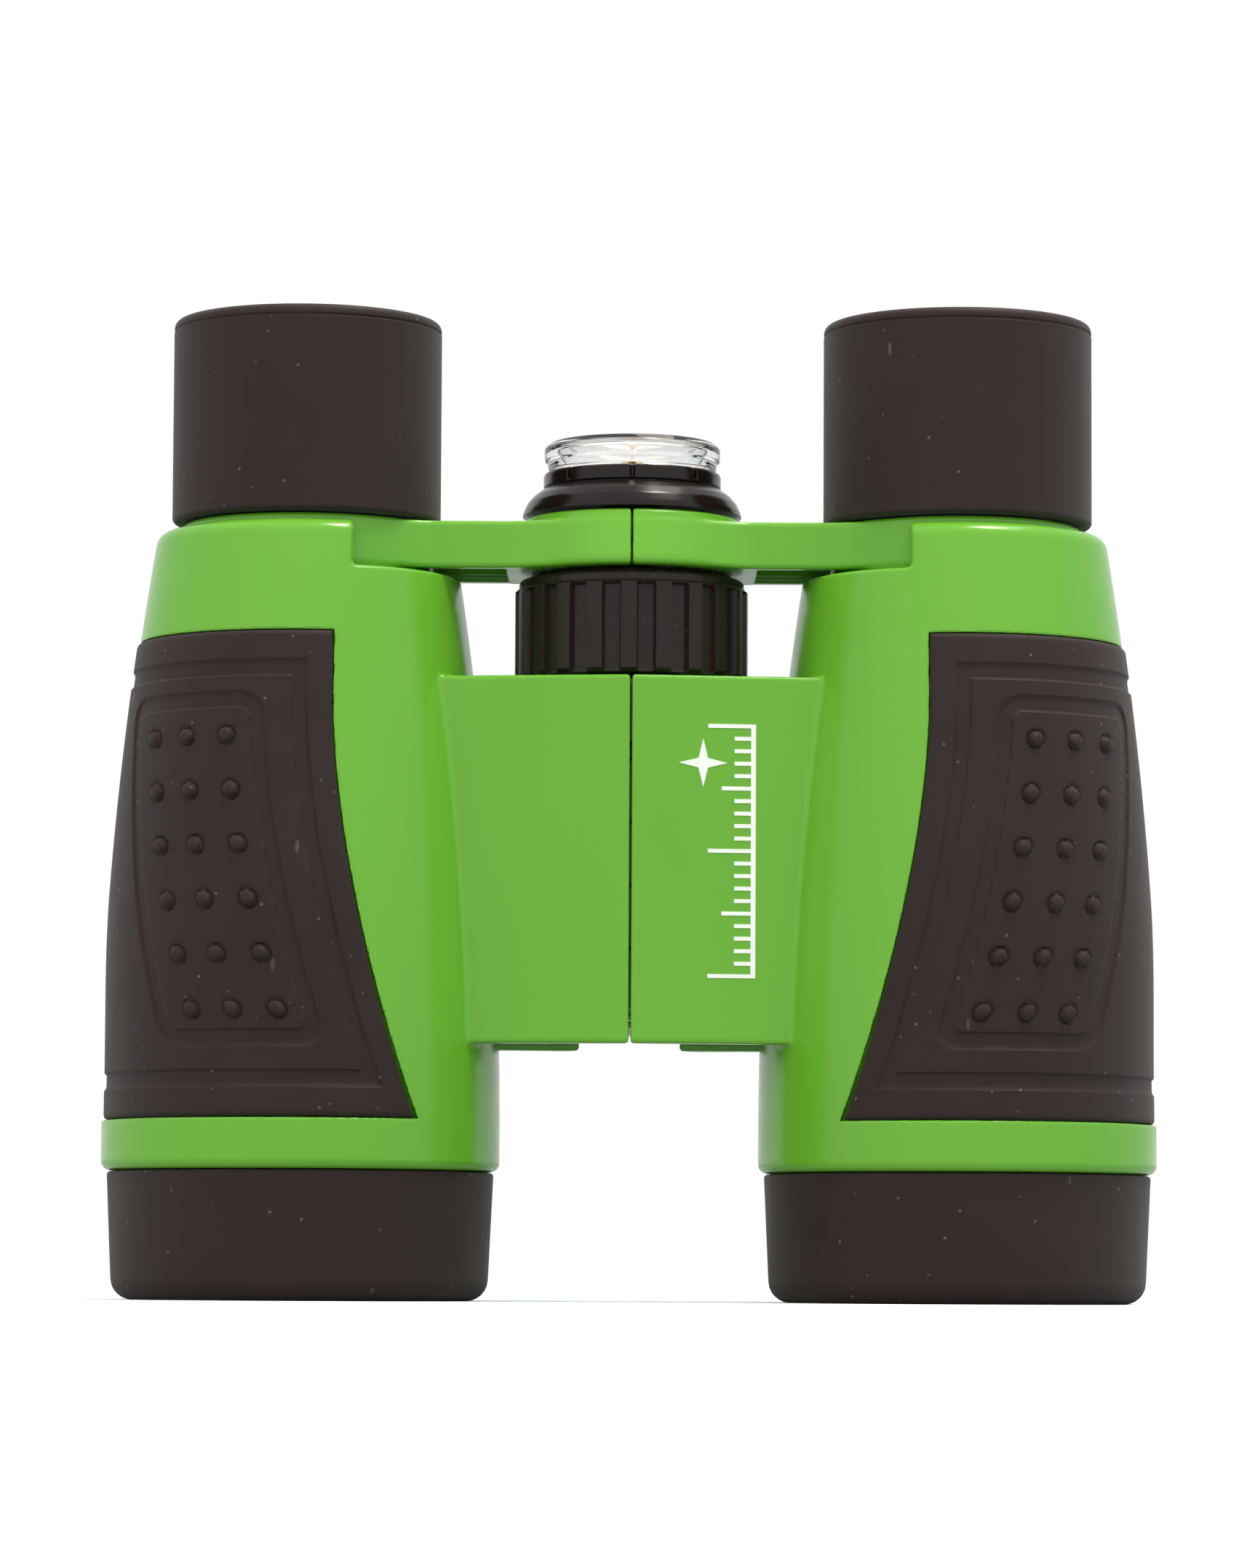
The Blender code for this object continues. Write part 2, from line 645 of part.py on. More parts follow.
def build_compass():
    seat = COMPASS_RING[0] - GAP
    base = [
        (0, SCREW_POCKET_TOP),
        (SCREW_RADIUS + GAP, SCREW_POCKET_TOP),
        (SCREW_RADIUS + GAP, COMPASS_BOTTOM),
        *BASE_FLARE,
        (BASE_TOP_RADIUS, seat),
        (0, seat),
    ]
    low, high = COMPASS_RING
    roof = CAP_TOP - CAP_ROOF
    cap = [
        (CAP_RADIUS - CAP_WALL, high + GAP),
        (CAP_RADIUS, high + GAP),
        (CAP_RADIUS, roof),
        (CAP_RADIUS - CAP_ROOF, CAP_TOP),
        (0, CAP_TOP),
        (0, roof),
        (CAP_RADIUS - CAP_WALL, roof),
    ]
    solid("compass_base", turned(base), "black_plastic")
    bezel = solid("compass_ring", ring(RING_BORE, BEZEL_RADIUS, low, high), "black_plastic")
    combine(bezel, "DIFFERENCE", [notch_cutter(index) for index in range(BEZEL_NOTCHES)])
    solid("compass_dial", cylinder(DIAL_RADIUS, low, DIAL_TOP), "dial_card")
    solid("compass_cap", turned(cap), "clear_plastic")
    solid("compass_pivot", cylinder(PIVOT_RADIUS, *PIVOT_HEIGHTS, 0.0, PIVOT_ROUND), "brass")
    build_needle()


def notch_cutter(index):
    """One of the small notches in the top outer edge of the bezel."""
    top = COMPASS_RING[1]
    shape = block(
        (NOTCH_START, BEZEL_RADIUS + BEYOND),
        (-NOTCH_HALF_WIDTH, NOTCH_HALF_WIDTH),
        (top - NOTCH_DEPTH, top + BEYOND),
    )
    turn = Matrix.Rotation(math.tau * index / BEZEL_NOTCHES, 4, "Z")
    bmesh.ops.transform(shape, matrix=turn, verts=shape.verts)
    return shape


def build_needle():
    """A lozenge needle with a round boss over the pivot."""
    blade = [
        (0.0, -NEEDLE_HALF_LENGTH),
        (NEEDLE_HALF_WIDTH, 0.0),
        (0.0, NEEDLE_HALF_LENGTH),
        (-NEEDLE_HALF_WIDTH, 0.0),
    ]
    origin = (0, 0, NEEDLE_HEIGHTS[0])
    needle = solid("compass_needle", prism(blade, *NEEDLE_HEIGHTS), "needle_paint", origin)
    combine(needle, "UNION", [cylinder(BOSS_RADIUS, *BOSS_HEIGHTS, 0.0, SMALL_ROUND)])


# ---- assembly -----------------------------------------------------------------------------------


def main():
    for obj in list(bpy.data.objects):
        bpy.data.objects.remove(obj)
    for name, side in SIDES.items():
        build_barrel(name, side)
        build_grip(name, side)
        build_objective(name, side)
        build_eyepiece(name, side)
        build_bridge_arm(name, side)
    build_hinge_hardware()
    build_focus_wheel()
    build_compass()
    to_metres()


main()
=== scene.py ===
"""Looks of a child's binoculars with a compass on the hinge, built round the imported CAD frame.

Sizes are in millimetres and become metres when a mesh is made. X runs across the barrels, Z along them
towards the eyecups, the fold hinge is the Z axis and the front is -Y. Shapes that exist on both sides
are worked out with the barrel at +X and mirrored for the left.
"""

import math

import bmesh
import bpy
import numpy as np
from mathutils import Matrix, Vector


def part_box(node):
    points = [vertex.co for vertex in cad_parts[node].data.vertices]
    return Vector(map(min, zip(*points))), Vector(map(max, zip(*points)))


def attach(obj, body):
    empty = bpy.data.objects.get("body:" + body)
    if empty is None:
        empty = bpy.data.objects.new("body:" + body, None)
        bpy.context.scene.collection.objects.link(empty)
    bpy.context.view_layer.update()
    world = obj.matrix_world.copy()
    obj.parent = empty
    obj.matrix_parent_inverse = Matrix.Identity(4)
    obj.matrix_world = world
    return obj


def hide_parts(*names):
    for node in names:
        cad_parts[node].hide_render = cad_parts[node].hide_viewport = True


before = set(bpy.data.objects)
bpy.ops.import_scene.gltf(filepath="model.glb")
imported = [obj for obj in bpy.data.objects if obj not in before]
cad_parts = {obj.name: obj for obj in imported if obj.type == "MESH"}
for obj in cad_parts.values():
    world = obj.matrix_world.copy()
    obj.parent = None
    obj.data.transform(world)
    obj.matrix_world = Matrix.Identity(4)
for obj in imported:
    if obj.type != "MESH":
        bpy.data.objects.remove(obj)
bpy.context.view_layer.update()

MM = 0.001
SIDES = {"left": -1, "right": 1}


def low(node, axis):
    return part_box(node)[0]["xyz".index(axis)] / MM


def high(node, axis):
    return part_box(node)[1]["xyz".index(axis)] / MM


def round_size(node):
    """The lowest and the highest level of a round node, and its radius."""
    return low(node, "z"), high(node, "z"), high(node, "y")


# ---- sizes ----

GAP = 0.3
JOINT_LINE = 0.1

# Barrels
BARREL_X = (low("objective_ring_right", "x") + high("objective_ring_right", "x")) / 2
BARREL_BOTTOM = low("barrel_right", "z")
BARREL_TOP = high("barrel_right", "z") - 0.35
BARREL_RADIUS = high("barrel_right", "y")
TAPER_START = 17.0
TAPER_RATE = 0.00133
SHELL = 2.6
NECK_BORE = 13.1
NECK_BORE_BOTTOM = 71.0
NOTCH_EDGE = BARREL_X - 5.55
NOTCH_FLOOR = 74.9
SHOULDER_ROUND = 1.3
FOOT_ROUND = 1.0
NOTCH_ROUND = 0.45
RECESS_ROUND = 0.15
EDGE_ROUND = 0.35
FINE_ROUND = 0.25
BORE_ROUND = 0.2
CREASE_ROUND = 0.4

# Grips
GRIP_BOTTOM = low("grip_right", "z")
GRIP_TOP = high("grip_right", "z") - 0.4
GRIP_PROUD = 0.3
GRIP_SINK = 0.5
GRIP_SINK_MIDDLE = 32.0
GRIP_SINK_SPAN = 20.0
GRIP_DEPTH = 0.9
GRIP_EDGE = 3.7
GRIP_FLARE_TOP = 61.0
GRIP_FLARE_RATE = 0.0144
GRIP_FLARE_POWER = 1.712
GRIP_ROUND = 0.45
CHANNEL_DEPTH = 0.24
CHANNEL_WIDTH = 1.55
CHANNEL_WALL = 0.2
FRAME_INSET = 2.6
FRAME_DROP = 3.15
PANEL_INSETS = (6.85, 25.1)
PANEL_HEIGHTS = (25.7, 61.5)
PANEL_CORNER = 2.6
NUB_INSETS = (10.95, 15.65, 20.25)
NUB_ROWS = 6
NUB_TOP_ROW = 57.12
NUB_PITCH = 5.56
NUB_DRIFT = 0.03
NUB_RADIUS = 0.75
NUB_HEIGHT = 0.6
NUB_MOAT = 0.26

# Hinge block
PLATE_BOTTOM = 26.3
PLATE_TOP = 64.0
PLATE_FRONT = 12.9
PLATE_THICKNESS = 2.5
PLATE_SLOPE = 0.13
PLATE_REACH = 21.0
FOLD_WEDGE = math.radians(28.0)
KNUCKLE_RADIUS = 8.5
KNUCKLE_HEIGHT = 6.2
WEB_HALF_DEPTH = 6.0
LOWEST_KNUCKLE = high("hinge_washer", "z") + GAP
TOP_KNUCKLE = (57.4, 64.1)
PIN_RADIUS = 2.2
JOURNAL_RADIUS = 5.0

# Bridge
BAR_START = 4.0
ARM_BOTTOM = 75.5
ARM_TOP = low("eyecup_right", "z") - GAP
ARM_HALF_DEPTH = 7.5
ARM_ROUND = 0.5
NECK_RADIUS = 12.8
NECK_FILLET = 3.0
NECK_BOTTOM = low("bridge_arm_right", "z")
CHANNEL_SPAN = (13.1, 20.6)
CHANNEL_HALF_DEPTH = 5.7
CHANNEL_TOP = 76.7
HUB_BOTTOM = 75.6
HUB_TOP = high("bridge_arm_right", "z")
HUB_LOW_RADIUS = 12.8
HUB_HIGH_RADIUS = 11.3
DISC_SPLIT = 78.45
HUB_FILLET = 3.0
HUB_FOOT_ROUND = 0.9

# Objective end
MOUTH_RADIUS = 16.6
STOP_BORE = 14.4
STOP_HEIGHTS = (13.1, 14.5)
BAFFLES = 10
BAFFLE_TOP = 6.9
BAFFLE_PITCH = 0.45
BAFFLE_DEPTH = 0.25
RETAINER_HEIGHTS = (7.5, 9.5)
RETAINER_BORE = 14.2
FRONT_LENS_EDGES = (10.0, 12.6)
FRONT_LENS_BULGES = (1.1, 1.3)

# Eyepiece end
CUP_GROOVE_DROP = 1.15
CUP_THROAT = (9.5, 96.5)
CUP_BORE = 9.2
TUBE_BORE = 10.3
SHELF_BORE = 8.6
SHELF_HEIGHTS = (82.6, 84.2)
EYE_RETAINER_HEIGHTS = (88.6, 90.4)
EYE_RETAINER_RADIUS = 10.0
EYE_LENS_EDGES = (84.7, 88.3)
EYE_LENS_BULGES = (-1.2, -1.2)
LENS_BEVEL = 0.2

# Meshes
ROUND = 144
ARC_STEPS = 6
SHARP = math.radians(32)
WIDE_STEP = 0.4
TALL_STEP = 0.45
SEAM = 0.3
PAD_STEPS = (0.25, 0.27)


# ---- plain shapes ----


def placed(name, data):
    made = bpy.data.objects.new(name, data)
    bpy.context.scene.collection.objects.link(made)
    return made


def add_piece(name, mesh, body, finish, replaced=()):
    """A finished piece: what it rides on, its material, and the CAD nodes it stands for; the record slot
    that comes with the finish is not used.
    """
    slot, material = finish
    made = placed(name, mesh)
    mesh.materials.append(material)
    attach(made, body)
    if replaced:
        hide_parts(*replaced)
    return made


def mesh_of(name, points, faces):
    mesh = bpy.data.meshes.new(name)
    mesh.from_pydata((np.asarray(points) * MM).tolist(), [], [list(face) for face in faces])
    mesh.shade_smooth()
    return mesh


def weld(mesh):
    """Merges points that coincide, such as those of a turned shape on its axis."""
    shape = bmesh.new()
    shape.from_mesh(mesh)
    bmesh.ops.remove_doubles(shape, verts=shape.verts, dist=1e-7)
    bmesh.ops.recalc_face_normals(shape, faces=shape.faces)
    shape.to_mesh(mesh)
    shape.free()
    mesh.shade_smooth()
    mesh.set_sharp_from_angle(angle=SHARP)


def rounded(corners):
    """A closed outline from corners (radius, height, rounding); a corner without rounding stays sharp."""
    outline = []
    for index, corner in enumerate(corners):
        here = np.array(corner[:2], float)
        if len(corner) < 3:
            outline.append(here)
            continue
        before = np.array(corners[index - 1][:2], float) - here
        after = np.array(corners[(index + 1) % len(corners)][:2], float) - here
        before /= np.linalg.norm(before)
        after /= np.linalg.norm(after)
        half = math.acos(np.clip(before @ after, -1, 1)) / 2
        middle = (before + after) / np.linalg.norm(before + after)
        centre = here + middle * corner[2] / math.sin(half)
        start = here + before * corner[2] / math.tan(half) - centre
        end = here + after * corner[2] / math.tan(half) - centre
        first = math.atan2(start[1], start[0])
        turn = (math.atan2(end[1], end[0]) - first + math.pi) % math.tau - math.pi
        for step in range(ARC_STEPS + 1):
            angle = first + turn * step / ARC_STEPS
            outline.append(centre + corner[2] * np.array([math.cos(angle), math.sin(angle)]))
    return outline


def turned(name, corners, x=0.0, segments=ROUND, angles=None, shape=None):
    """A solid of revolution about the vertical line through x.

    shape, if given, changes the radius: it takes arrays of radius, height and angle.
    """
    outline = np.array(rounded(corners))
    if angles is None:
        angles = np.arange(segments) * math.tau / segments
    radius = np.repeat(outline[None, :, 0], len(angles), 0)
    height = np.repeat(outline[None, :, 1], len(angles), 0)
    angle = np.repeat(np.asarray(angles)[:, None], len(outline), 1)
    if shape:
        radius = shape(radius, height, angle)
    points = np.stack([x + radius * np.cos(angle), radius * np.sin(angle), height], -1).reshape(-1, 3)
    columns, rows = len(angles), len(outline)
    column, row = np.meshgrid(np.arange(columns), np.arange(rows), indexing="ij")
    following = (column + 1) % columns
    above = (row + 1) % rows
    faces = np.stack(
        [column * rows + row, following * rows + row, following * rows + above, column * rows + above], -1
    ).reshape(-1, 4)
    on_axis = outline[:, 0] < 1e-6
    keep = ~(on_axis[row.ravel()] & on_axis[above.ravel()])
    mesh = mesh_of(name, points, faces[keep])
    weld(mesh)
    return mesh


def turned_piece(name, corners, body, finish, replaced=(), **options):
    """A turned shape as a piece; its broad faces keep their own shading next to narrow rounded edges."""
    made = add_piece(name, turned(name, corners, **options), body, finish, replaced)
    made.modifiers.new("normals", "WEIGHTED_NORMAL").keep_sharp = True


# ---- fields: solids given by a distance that is negative inside ----


def cut_to(a, b, size=EDGE_ROUND):
    """What two solids share, with the edge between them rounded."""
    corner = np.hypot(np.maximum(a + size, 0), np.maximum(b + size, 0))
    return np.minimum(-size, np.maximum(a, b)) + corner


def joined(a, b, size=CREASE_ROUND):
    """Two solids together, with a fillet in the crease between them."""
    corner = np.hypot(np.maximum(size - a, 0), np.maximum(size - b, 0))
    return np.maximum(size, np.minimum(a, b)) - corner


def slopes(field, points):
    """The field's gradient at each point."""
    reach = 0.02
    found = np.empty_like(points)
    for axis in range(3):
        step = np.zeros(3)
        step[axis] = reach
        found[:, axis] = (field(*(points + step).T) - field(*(points - step).T)) / (2 * reach)
    return found


def surface_of(field, axes):
    """The surface where a field is zero: a point in each grid cell that it crosses, joined by quads."""
    values = field(*np.meshgrid(*axes, indexing="ij"))
    inside = values < 0
    cells = [len(axis) - 1 for axis in axes]
    quads, places = [], []
    for axis in range(3):
        step = np.eye(3, dtype=int)[axis]
        starts = tuple(slice(0, size - part) for size, part in zip(values.shape, step))
        ends = tuple(slice(part, None) for part in step)
        crossed = np.argwhere(inside[starts] != inside[ends])
        first = values[tuple(crossed.T)]
        second = values[tuple((crossed + step).T)]
        place = np.stack([axes[k][crossed[:, k]] for k in range(3)], 1)
        spacing = axes[axis][crossed[:, axis] + 1] - axes[axis][crossed[:, axis]]
        place[:, axis] += spacing * first / (first - second)
        one, two = [np.eye(3, dtype=int)[k] for k in range(3) if k != axis]
        ring = [crossed - one - two, crossed - two, crossed, crossed - one]
        ring = np.stack([np.ravel_multi_index(tuple(cell.T), cells) for cell in ring], 1)
        outward = inside[tuple(crossed.T)] != (axis == 1)
        quads.append(np.where(outward[:, None], ring, ring[:, ::-1]))
        places.append(place)
    quads, places = np.concatenate(quads), np.concatenate(places)
    index = np.unique(quads, return_inverse=True)[1].reshape(-1, 4)
    return settled(field, corner_points(field, places, index)), index


def corner_points(field, places, index):
    """The point of each cell nearest the planes that touch the surface where it crosses the cell's edges.

    On an edge of the solid these planes meet in it, so that the edge comes out straight.
    """
    stiffness, furthest = 0.05, 0.35
    count = index.max() + 1
    normal = normals_at(field, places)

    def gathered(value):
        return np.bincount(index.ravel(), np.repeat(value, 4), count)

    hits = gathered(np.ones(len(places)))
    middle = np.stack([gathered(places[:, axis]) for axis in range(3)], 1) / hits[:, None]
    products = [normal[:, one] * normal[:, two] for one in range(3) for two in range(3)]
    spread = np.stack([gathered(product) for product in products], 1).reshape(-1, 3, 3)
    level = (normal * places).sum(1)
    pull = np.stack([gathered(normal[:, axis] * level) for axis in range(3)], 1)
    pull -= np.einsum("nij,nj->ni", spread, middle)
    held = spread + stiffness * hits[:, None, None] * np.eye(3)
    shift = np.linalg.solve(held, pull[..., None])[..., 0]
    return middle + np.clip(shift, -furthest, furthest)


def settled(field, points):
    """Moves points onto the surface, so that their spacing doesn't show."""
    furthest, gentlest = 0.3, 0.3
    for _ in range(4):
        slope = slopes(field, points)
        steep = np.maximum((slope**2).sum(1), gentlest)
        points = points - (np.clip(field(*points.T), -furthest, furthest) / steep)[:, None] * slope
    return points


def spaced(start, end, coarse, fine=0.0, places=(), reach=1.0):
    """Grid lines from start to end, closer together round the given places."""
    lines = [start]
    while lines[-1] < end:
        near = any(abs(lines[-1] - place) < reach for place in places)
        lines.append(lines[-1] + (fine if near else coarse))
    return np.array(lines)


def normals_at(field, points):
    slope = slopes(field, points)
    return slope / np.maximum(np.linalg.norm(slope, axis=1), 1e-9)[:, None]


def field_mesh(name, field, axes, side):
    """The mesh of a field. At an edge of the solid, the corner of a face takes that face's own normal."""
    crease = math.cos(math.radians(20))
    points, quads = surface_of(field, axes)
    normals = normals_at(field, points)[quads]
    corners = points[quads]
    inward = 0.6 * corners + 0.4 * corners.mean(1, keepdims=True)
    own = normals_at(field, inward.reshape(-1, 3)).reshape(-1, 4, 3)
    bent = (own * normals).sum(-1) < crease
    normals = np.where(bent[..., None], own, normals)
    if side < 0:
        points, normals, quads = points * (-1, 1, 1), normals[:, ::-1] * (-1, 1, 1), quads[:, ::-1]
    mesh = mesh_of(name, points, quads)
    mesh.normals_split_custom_set(normals.reshape(-1, 3).tolist())
    return mesh


# ---- barrels ----


def barrel_radius(z):
    return BARREL_RADIUS - TAPER_RATE * np.maximum(0.0, z - TAPER_START) ** 2


def grip_edge(z):
    """How far inboard of the barrel's axis the grip ends."""
    return GRIP_EDGE + GRIP_FLARE_RATE * np.maximum(0.0, GRIP_FLARE_TOP - z) ** GRIP_FLARE_POWER


def between(z, bottom, top):
    return np.maximum(bottom - z, z - top)


def fold_wedge(x, y):
    """Positive in the room that the halves need behind the hinge to fold."""
    return y * math.sin(FOLD_WEDGE) - x * math.cos(FOLD_WEDGE)


def plate(x, out, z, edge, size):
    """A plate of the hinge block that faces outwards and ends at edge, beside the other half's plate."""
    beyond = (out + PLATE_SLOPE * x - PLATE_FRONT) / math.hypot(1, PLATE_SLOPE)
    slab = np.maximum(beyond, -beyond - PLATE_THICKNESS)
    slab = cut_to(slab, np.maximum(edge, x - PLATE_REACH), size)
    return cut_to(slab, between(z, PLATE_BOTTOM, PLATE_TOP))


def knuckle_ranges(side):
    bottoms = [LOWEST_KNUCKLE + (KNUCKLE_HEIGHT + GAP) * place for place in range(4)]
    evenly = [(bottom, bottom + KNUCKLE_HEIGHT) for bottom in bottoms]
    return [evenly[0], evenly[2], TOP_KNUCKLE] if side < 0 else [evenly[1], evenly[3]]


def knuckles(x, y, z, side):
    web = np.maximum(np.abs(y) - WEB_HALF_DEPTH, np.maximum(-x, x - PLATE_REACH))
    plan = np.minimum(np.hypot(x, y) - KNUCKLE_RADIUS, web)
    slabs = [between(z, bottom, top) for bottom, top in knuckle_ranges(side)]
    return cut_to(plan, np.minimum.reduce(slabs), FINE_ROUND)


def barrel_field(side):
    def field(x, y, z):
        out = np.hypot(x - BARREL_X, y)
        radius = barrel_radius(z)
        lean = np.sqrt(1 + (2 * TAPER_RATE * np.maximum(0.0, z - TAPER_START)) ** 2)
        solid = cut_to((out - radius) / lean, z - BARREL_TOP, SHOULDER_ROUND)
        solid = cut_to(solid, BARREL_BOTTOM - z, FOOT_ROUND)
        solid = joined(solid, plate(x, -y, z, JOINT_LINE - x, FINE_ROUND))
        solid = joined(solid, plate(x, y, z, fold_wedge(x, y), EDGE_ROUND))
        solid = np.minimum(solid, knuckles(x, y, z, side))
        notch = cut_to(x - NOTCH_EDGE, NOTCH_FLOOR - z)
        solid = cut_to(solid, -notch, NOTCH_ROUND)
        solid = cut_to(solid, -grip_recess(x, out, radius, z), RECESS_ROUND)
        bore = np.minimum(cut_to(out - radius + SHELL, z - NECK_BORE_BOTTOM), out - NECK_BORE)
        axle = np.hypot(x, y)
        pin = np.maximum(axle - PIN_RADIUS - GAP, LOWEST_KNUCKLE - 1 - z)
        journal = np.maximum(axle - JOURNAL_RADIUS - GAP, TOP_KNUCKLE[0] - 1 - z)
        return cut_to(solid, -np.minimum(bore, np.minimum(pin, journal)), BORE_ROUND)

    return field


def grip_recess(x, out, radius, z):
    inboard = -(x - BARREL_X + grip_edge(z) + JOINT_LINE)
    floor = radius - GRIP_DEPTH - GAP - out
    span = between(z, GRIP_BOTTOM - JOINT_LINE, GRIP_TOP + JOINT_LINE)
    return np.maximum(np.maximum(inboard, floor), span)


def barrel_axes():
    levels = (BARREL_BOTTOM, GRIP_BOTTOM, PLATE_BOTTOM, PLATE_TOP, GRIP_TOP, NOTCH_FLOOR, BARREL_TOP)
    wide = spaced(-KNUCKLE_RADIUS - 1.3, BARREL_X + BARREL_RADIUS + 1.5, WIDE_STEP, 0.3, (SEAM,), 1.2)
    deep = spaced(-BARREL_RADIUS - 1.3, BARREL_RADIUS + 1.5, WIDE_STEP)
    tall = spaced(BARREL_BOTTOM - 1.1, BARREL_TOP + 1.5, TALL_STEP, 0.3, levels, 1.0)
    return wide, deep, tall


def build_barrel(name, side, finish):
    mesh = field_mesh(f"barrel_shell_{name}", barrel_field(side), barrel_axes(), side)
    add_piece(f"barrel_shell_{name}", mesh, f"{name}_half", finish, [f"barrel_{name}"])


# ---- grips ----


def step_up(value, width):
    share = np.clip(value / width + 0.5, 0, 1)
    return share * share * (3 - 2 * share)


def channel(inset):
    """A shallow channel whose outer wall is where inset is 0."""
    inner_wall = step_up(inset - CHANNEL_WIDTH, CHANNEL_WALL)
    return -CHANNEL_DEPTH * step_up(inset, CHANNEL_WALL) * (1 - inner_wall)


def panel_inset(inset, z):
    """How far inside the rounded panel a point lies."""
    middle = sum(PANEL_INSETS) / 2, sum(PANEL_HEIGHTS) / 2
    across = np.abs(inset - middle[0]) - (PANEL_INSETS[1] - PANEL_INSETS[0]) / 2 + PANEL_CORNER
    along = np.abs(z - middle[1]) - (PANEL_HEIGHTS[1] - PANEL_HEIGHTS[0]) / 2 + PANEL_CORNER
    outside = np.hypot(np.maximum(across, 0), np.maximum(along, 0))
    return PANEL_CORNER - outside - np.minimum(np.maximum(across, along), 0)


def grip_relief(inset, z):
    """How the pad's skin rises and falls. inset is the distance round the pad from its inner edge."""
    drop = np.minimum(GRIP_TOP - z, z - GRIP_BOTTOM)
    rim = np.minimum(inset, drop)
    relief = -GRIP_ROUND + np.sqrt(GRIP_ROUND**2 - np.clip(GRIP_ROUND - rim, 0, GRIP_ROUND) ** 2)
    relief += channel(np.minimum(inset - FRAME_INSET, drop - FRAME_DROP))
    relief += channel(panel_inset(inset, z))
    moat_middle, moat_width = 1.2, 0.2
    for nub_inset in NUB_INSETS:
        for row in range(NUB_ROWS):
            across = inset - nub_inset + NUB_DRIFT * row
            away = np.hypot(across, z - NUB_TOP_ROW + NUB_PITCH * row) / NUB_RADIUS
            relief += NUB_HEIGHT * np.sqrt(np.maximum(0, 1 - away**4))
            relief -= NUB_MOAT * np.exp(-(((away - moat_middle) / moat_width) ** 2))
    return relief


def grip_proud(z):
    """The pad stands proud of the barrel, but sinks below it towards its lower end."""
    return GRIP_PROUD - GRIP_SINK * step_up(GRIP_SINK_MIDDLE - z, GRIP_SINK_SPAN)


def edged(length, spacing):
    """Distances along a length, close together at both ends where the edge is rounded."""
    end = np.array([0.0, 0.06, 0.2, GRIP_ROUND, 0.75])
    count = round((length - 2 * end[-1]) / spacing)
    inner = np.linspace(end[-1], length - end[-1], count + 1)[1:-1]
    return np.concatenate([end, inner, length - end[::-1]])


def build_grip(name, side, finish):
    round_step, tall_step = PAD_STEPS
    z = (GRIP_BOTTOM + edged(GRIP_TOP - GRIP_BOTTOM, tall_step))[:, None]
    radius = barrel_radius(z)
    reach = np.arccos(-grip_edge(z) / radius)
    widest = 2 * float((reach * radius).max())
    share = edged(widest, round_step) / widest
    phi = reach * (1 - 2 * share[None, :])
    inset = radius * (reach - np.abs(phi))
    skins = []
    for offset in (grip_proud(z) + grip_relief(inset, z), np.full_like(phi, -GRIP_DEPTH)):
        out = radius + offset
        x = BARREL_X + out * np.cos(phi)
        skins.append(np.stack([x, out * np.sin(phi), np.broadcast_to(z, phi.shape)], -1))
    mesh = closed_grid(f"grip_pad_{name}", *skins, side)
    add_piece(f"grip_pad_{name}", mesh, f"{name}_half", finish, [f"grip_{name}"])


def closed_grid(name, outer, inner, side):
    """A curved plate between two equal grids of points."""
    rows, columns = outer.shape[:2]
    points = np.concatenate([outer.reshape(-1, 3), inner.reshape(-1, 3)]) * (side, 1, 1)
    index = np.arange(rows * columns).reshape(rows, columns)
    skin = np.stack([index[:-1, :-1], index[:-1, 1:], index[1:, 1:], index[1:, :-1]], -1).reshape(-1, 4)
    border = np.concatenate([index[0, :-1], index[:-1, -1], index[-1, :0:-1], index[:0:-1, 0]])
    after = np.roll(border, -1)
    hidden = rows * columns
    wall = np.stack([border, after, after + hidden, border + hidden], -1)
    mesh = mesh_of(name, points, np.concatenate([skin, skin + hidden, wall]))
    weld(mesh)
    return mesh


# ---- bridge ----


def arm_field(side):
    own_low = side < 0
    discs = ((HUB_BOTTOM, DISC_SPLIT - GAP / 2), (DISC_SPLIT + GAP / 2, HUB_TOP))
    own, other = discs if own_low else discs[::-1]

    def field(x, y, z):
        axle = np.hypot(x, y)
        share = (z - HUB_BOTTOM) / (HUB_TOP - HUB_BOTTOM)
        cone = axle - (HUB_LOW_RADIUS + (HUB_HIGH_RADIUS - HUB_LOW_RADIUS) * share)
        bar = np.maximum(np.abs(y) - ARM_HALF_DEPTH, np.maximum(BAR_START - x, x - BARREL_X))
        collar = np.hypot(x - BARREL_X, y) - NECK_RADIUS
        plan = joined(joined(bar, cone, HUB_FILLET), collar, NECK_FILLET)
        spread = cut_to(plan, between(z, ARM_BOTTOM, ARM_TOP), ARM_ROUND)
        hub = cut_to(cut_to(cone, z - HUB_TOP, 0.4), HUB_BOTTOM - z, HUB_FOOT_ROUND)
        solid = joined(spread, hub, 0.3)
        channel = np.maximum(np.abs(y) - CHANNEL_HALF_DEPTH, between(x, *CHANNEL_SPAN))
        channel = cut_to(channel, z - CHANNEL_TOP, 0.6)
        solid = cut_to(solid, -channel, 0.4)
        neck = cut_to(collar, between(z, NECK_BOTTOM, ARM_TOP), 0.3)
        solid = np.maximum(joined(solid, neck, 0.5), z - HUB_TOP)
        solid = cut_to(cut_to(solid, JOINT_LINE - x, FINE_ROUND), fold_wedge(x, y), FINE_ROUND)
        room = np.maximum(axle - KNUCKLE_RADIUS - GAP, between(z, other[0] - 1, other[1] + 1))
        room = np.maximum(room, other[0] - GAP - z if own_low else z - other[1] - GAP)
        solid = cut_to(solid, -room, BORE_ROUND)
        disc = cut_to(axle - KNUCKLE_RADIUS, between(z, *own), FINE_ROUND)
        solid = np.minimum(solid, disc)
        tube = np.hypot(x - BARREL_X, y) - high("eyepiece_tube_right", "y") - GAP
        screw = axle - high("focus_screw", "y") - GAP
        return cut_to(solid, -np.minimum(tube, screw), BORE_ROUND)

    return field


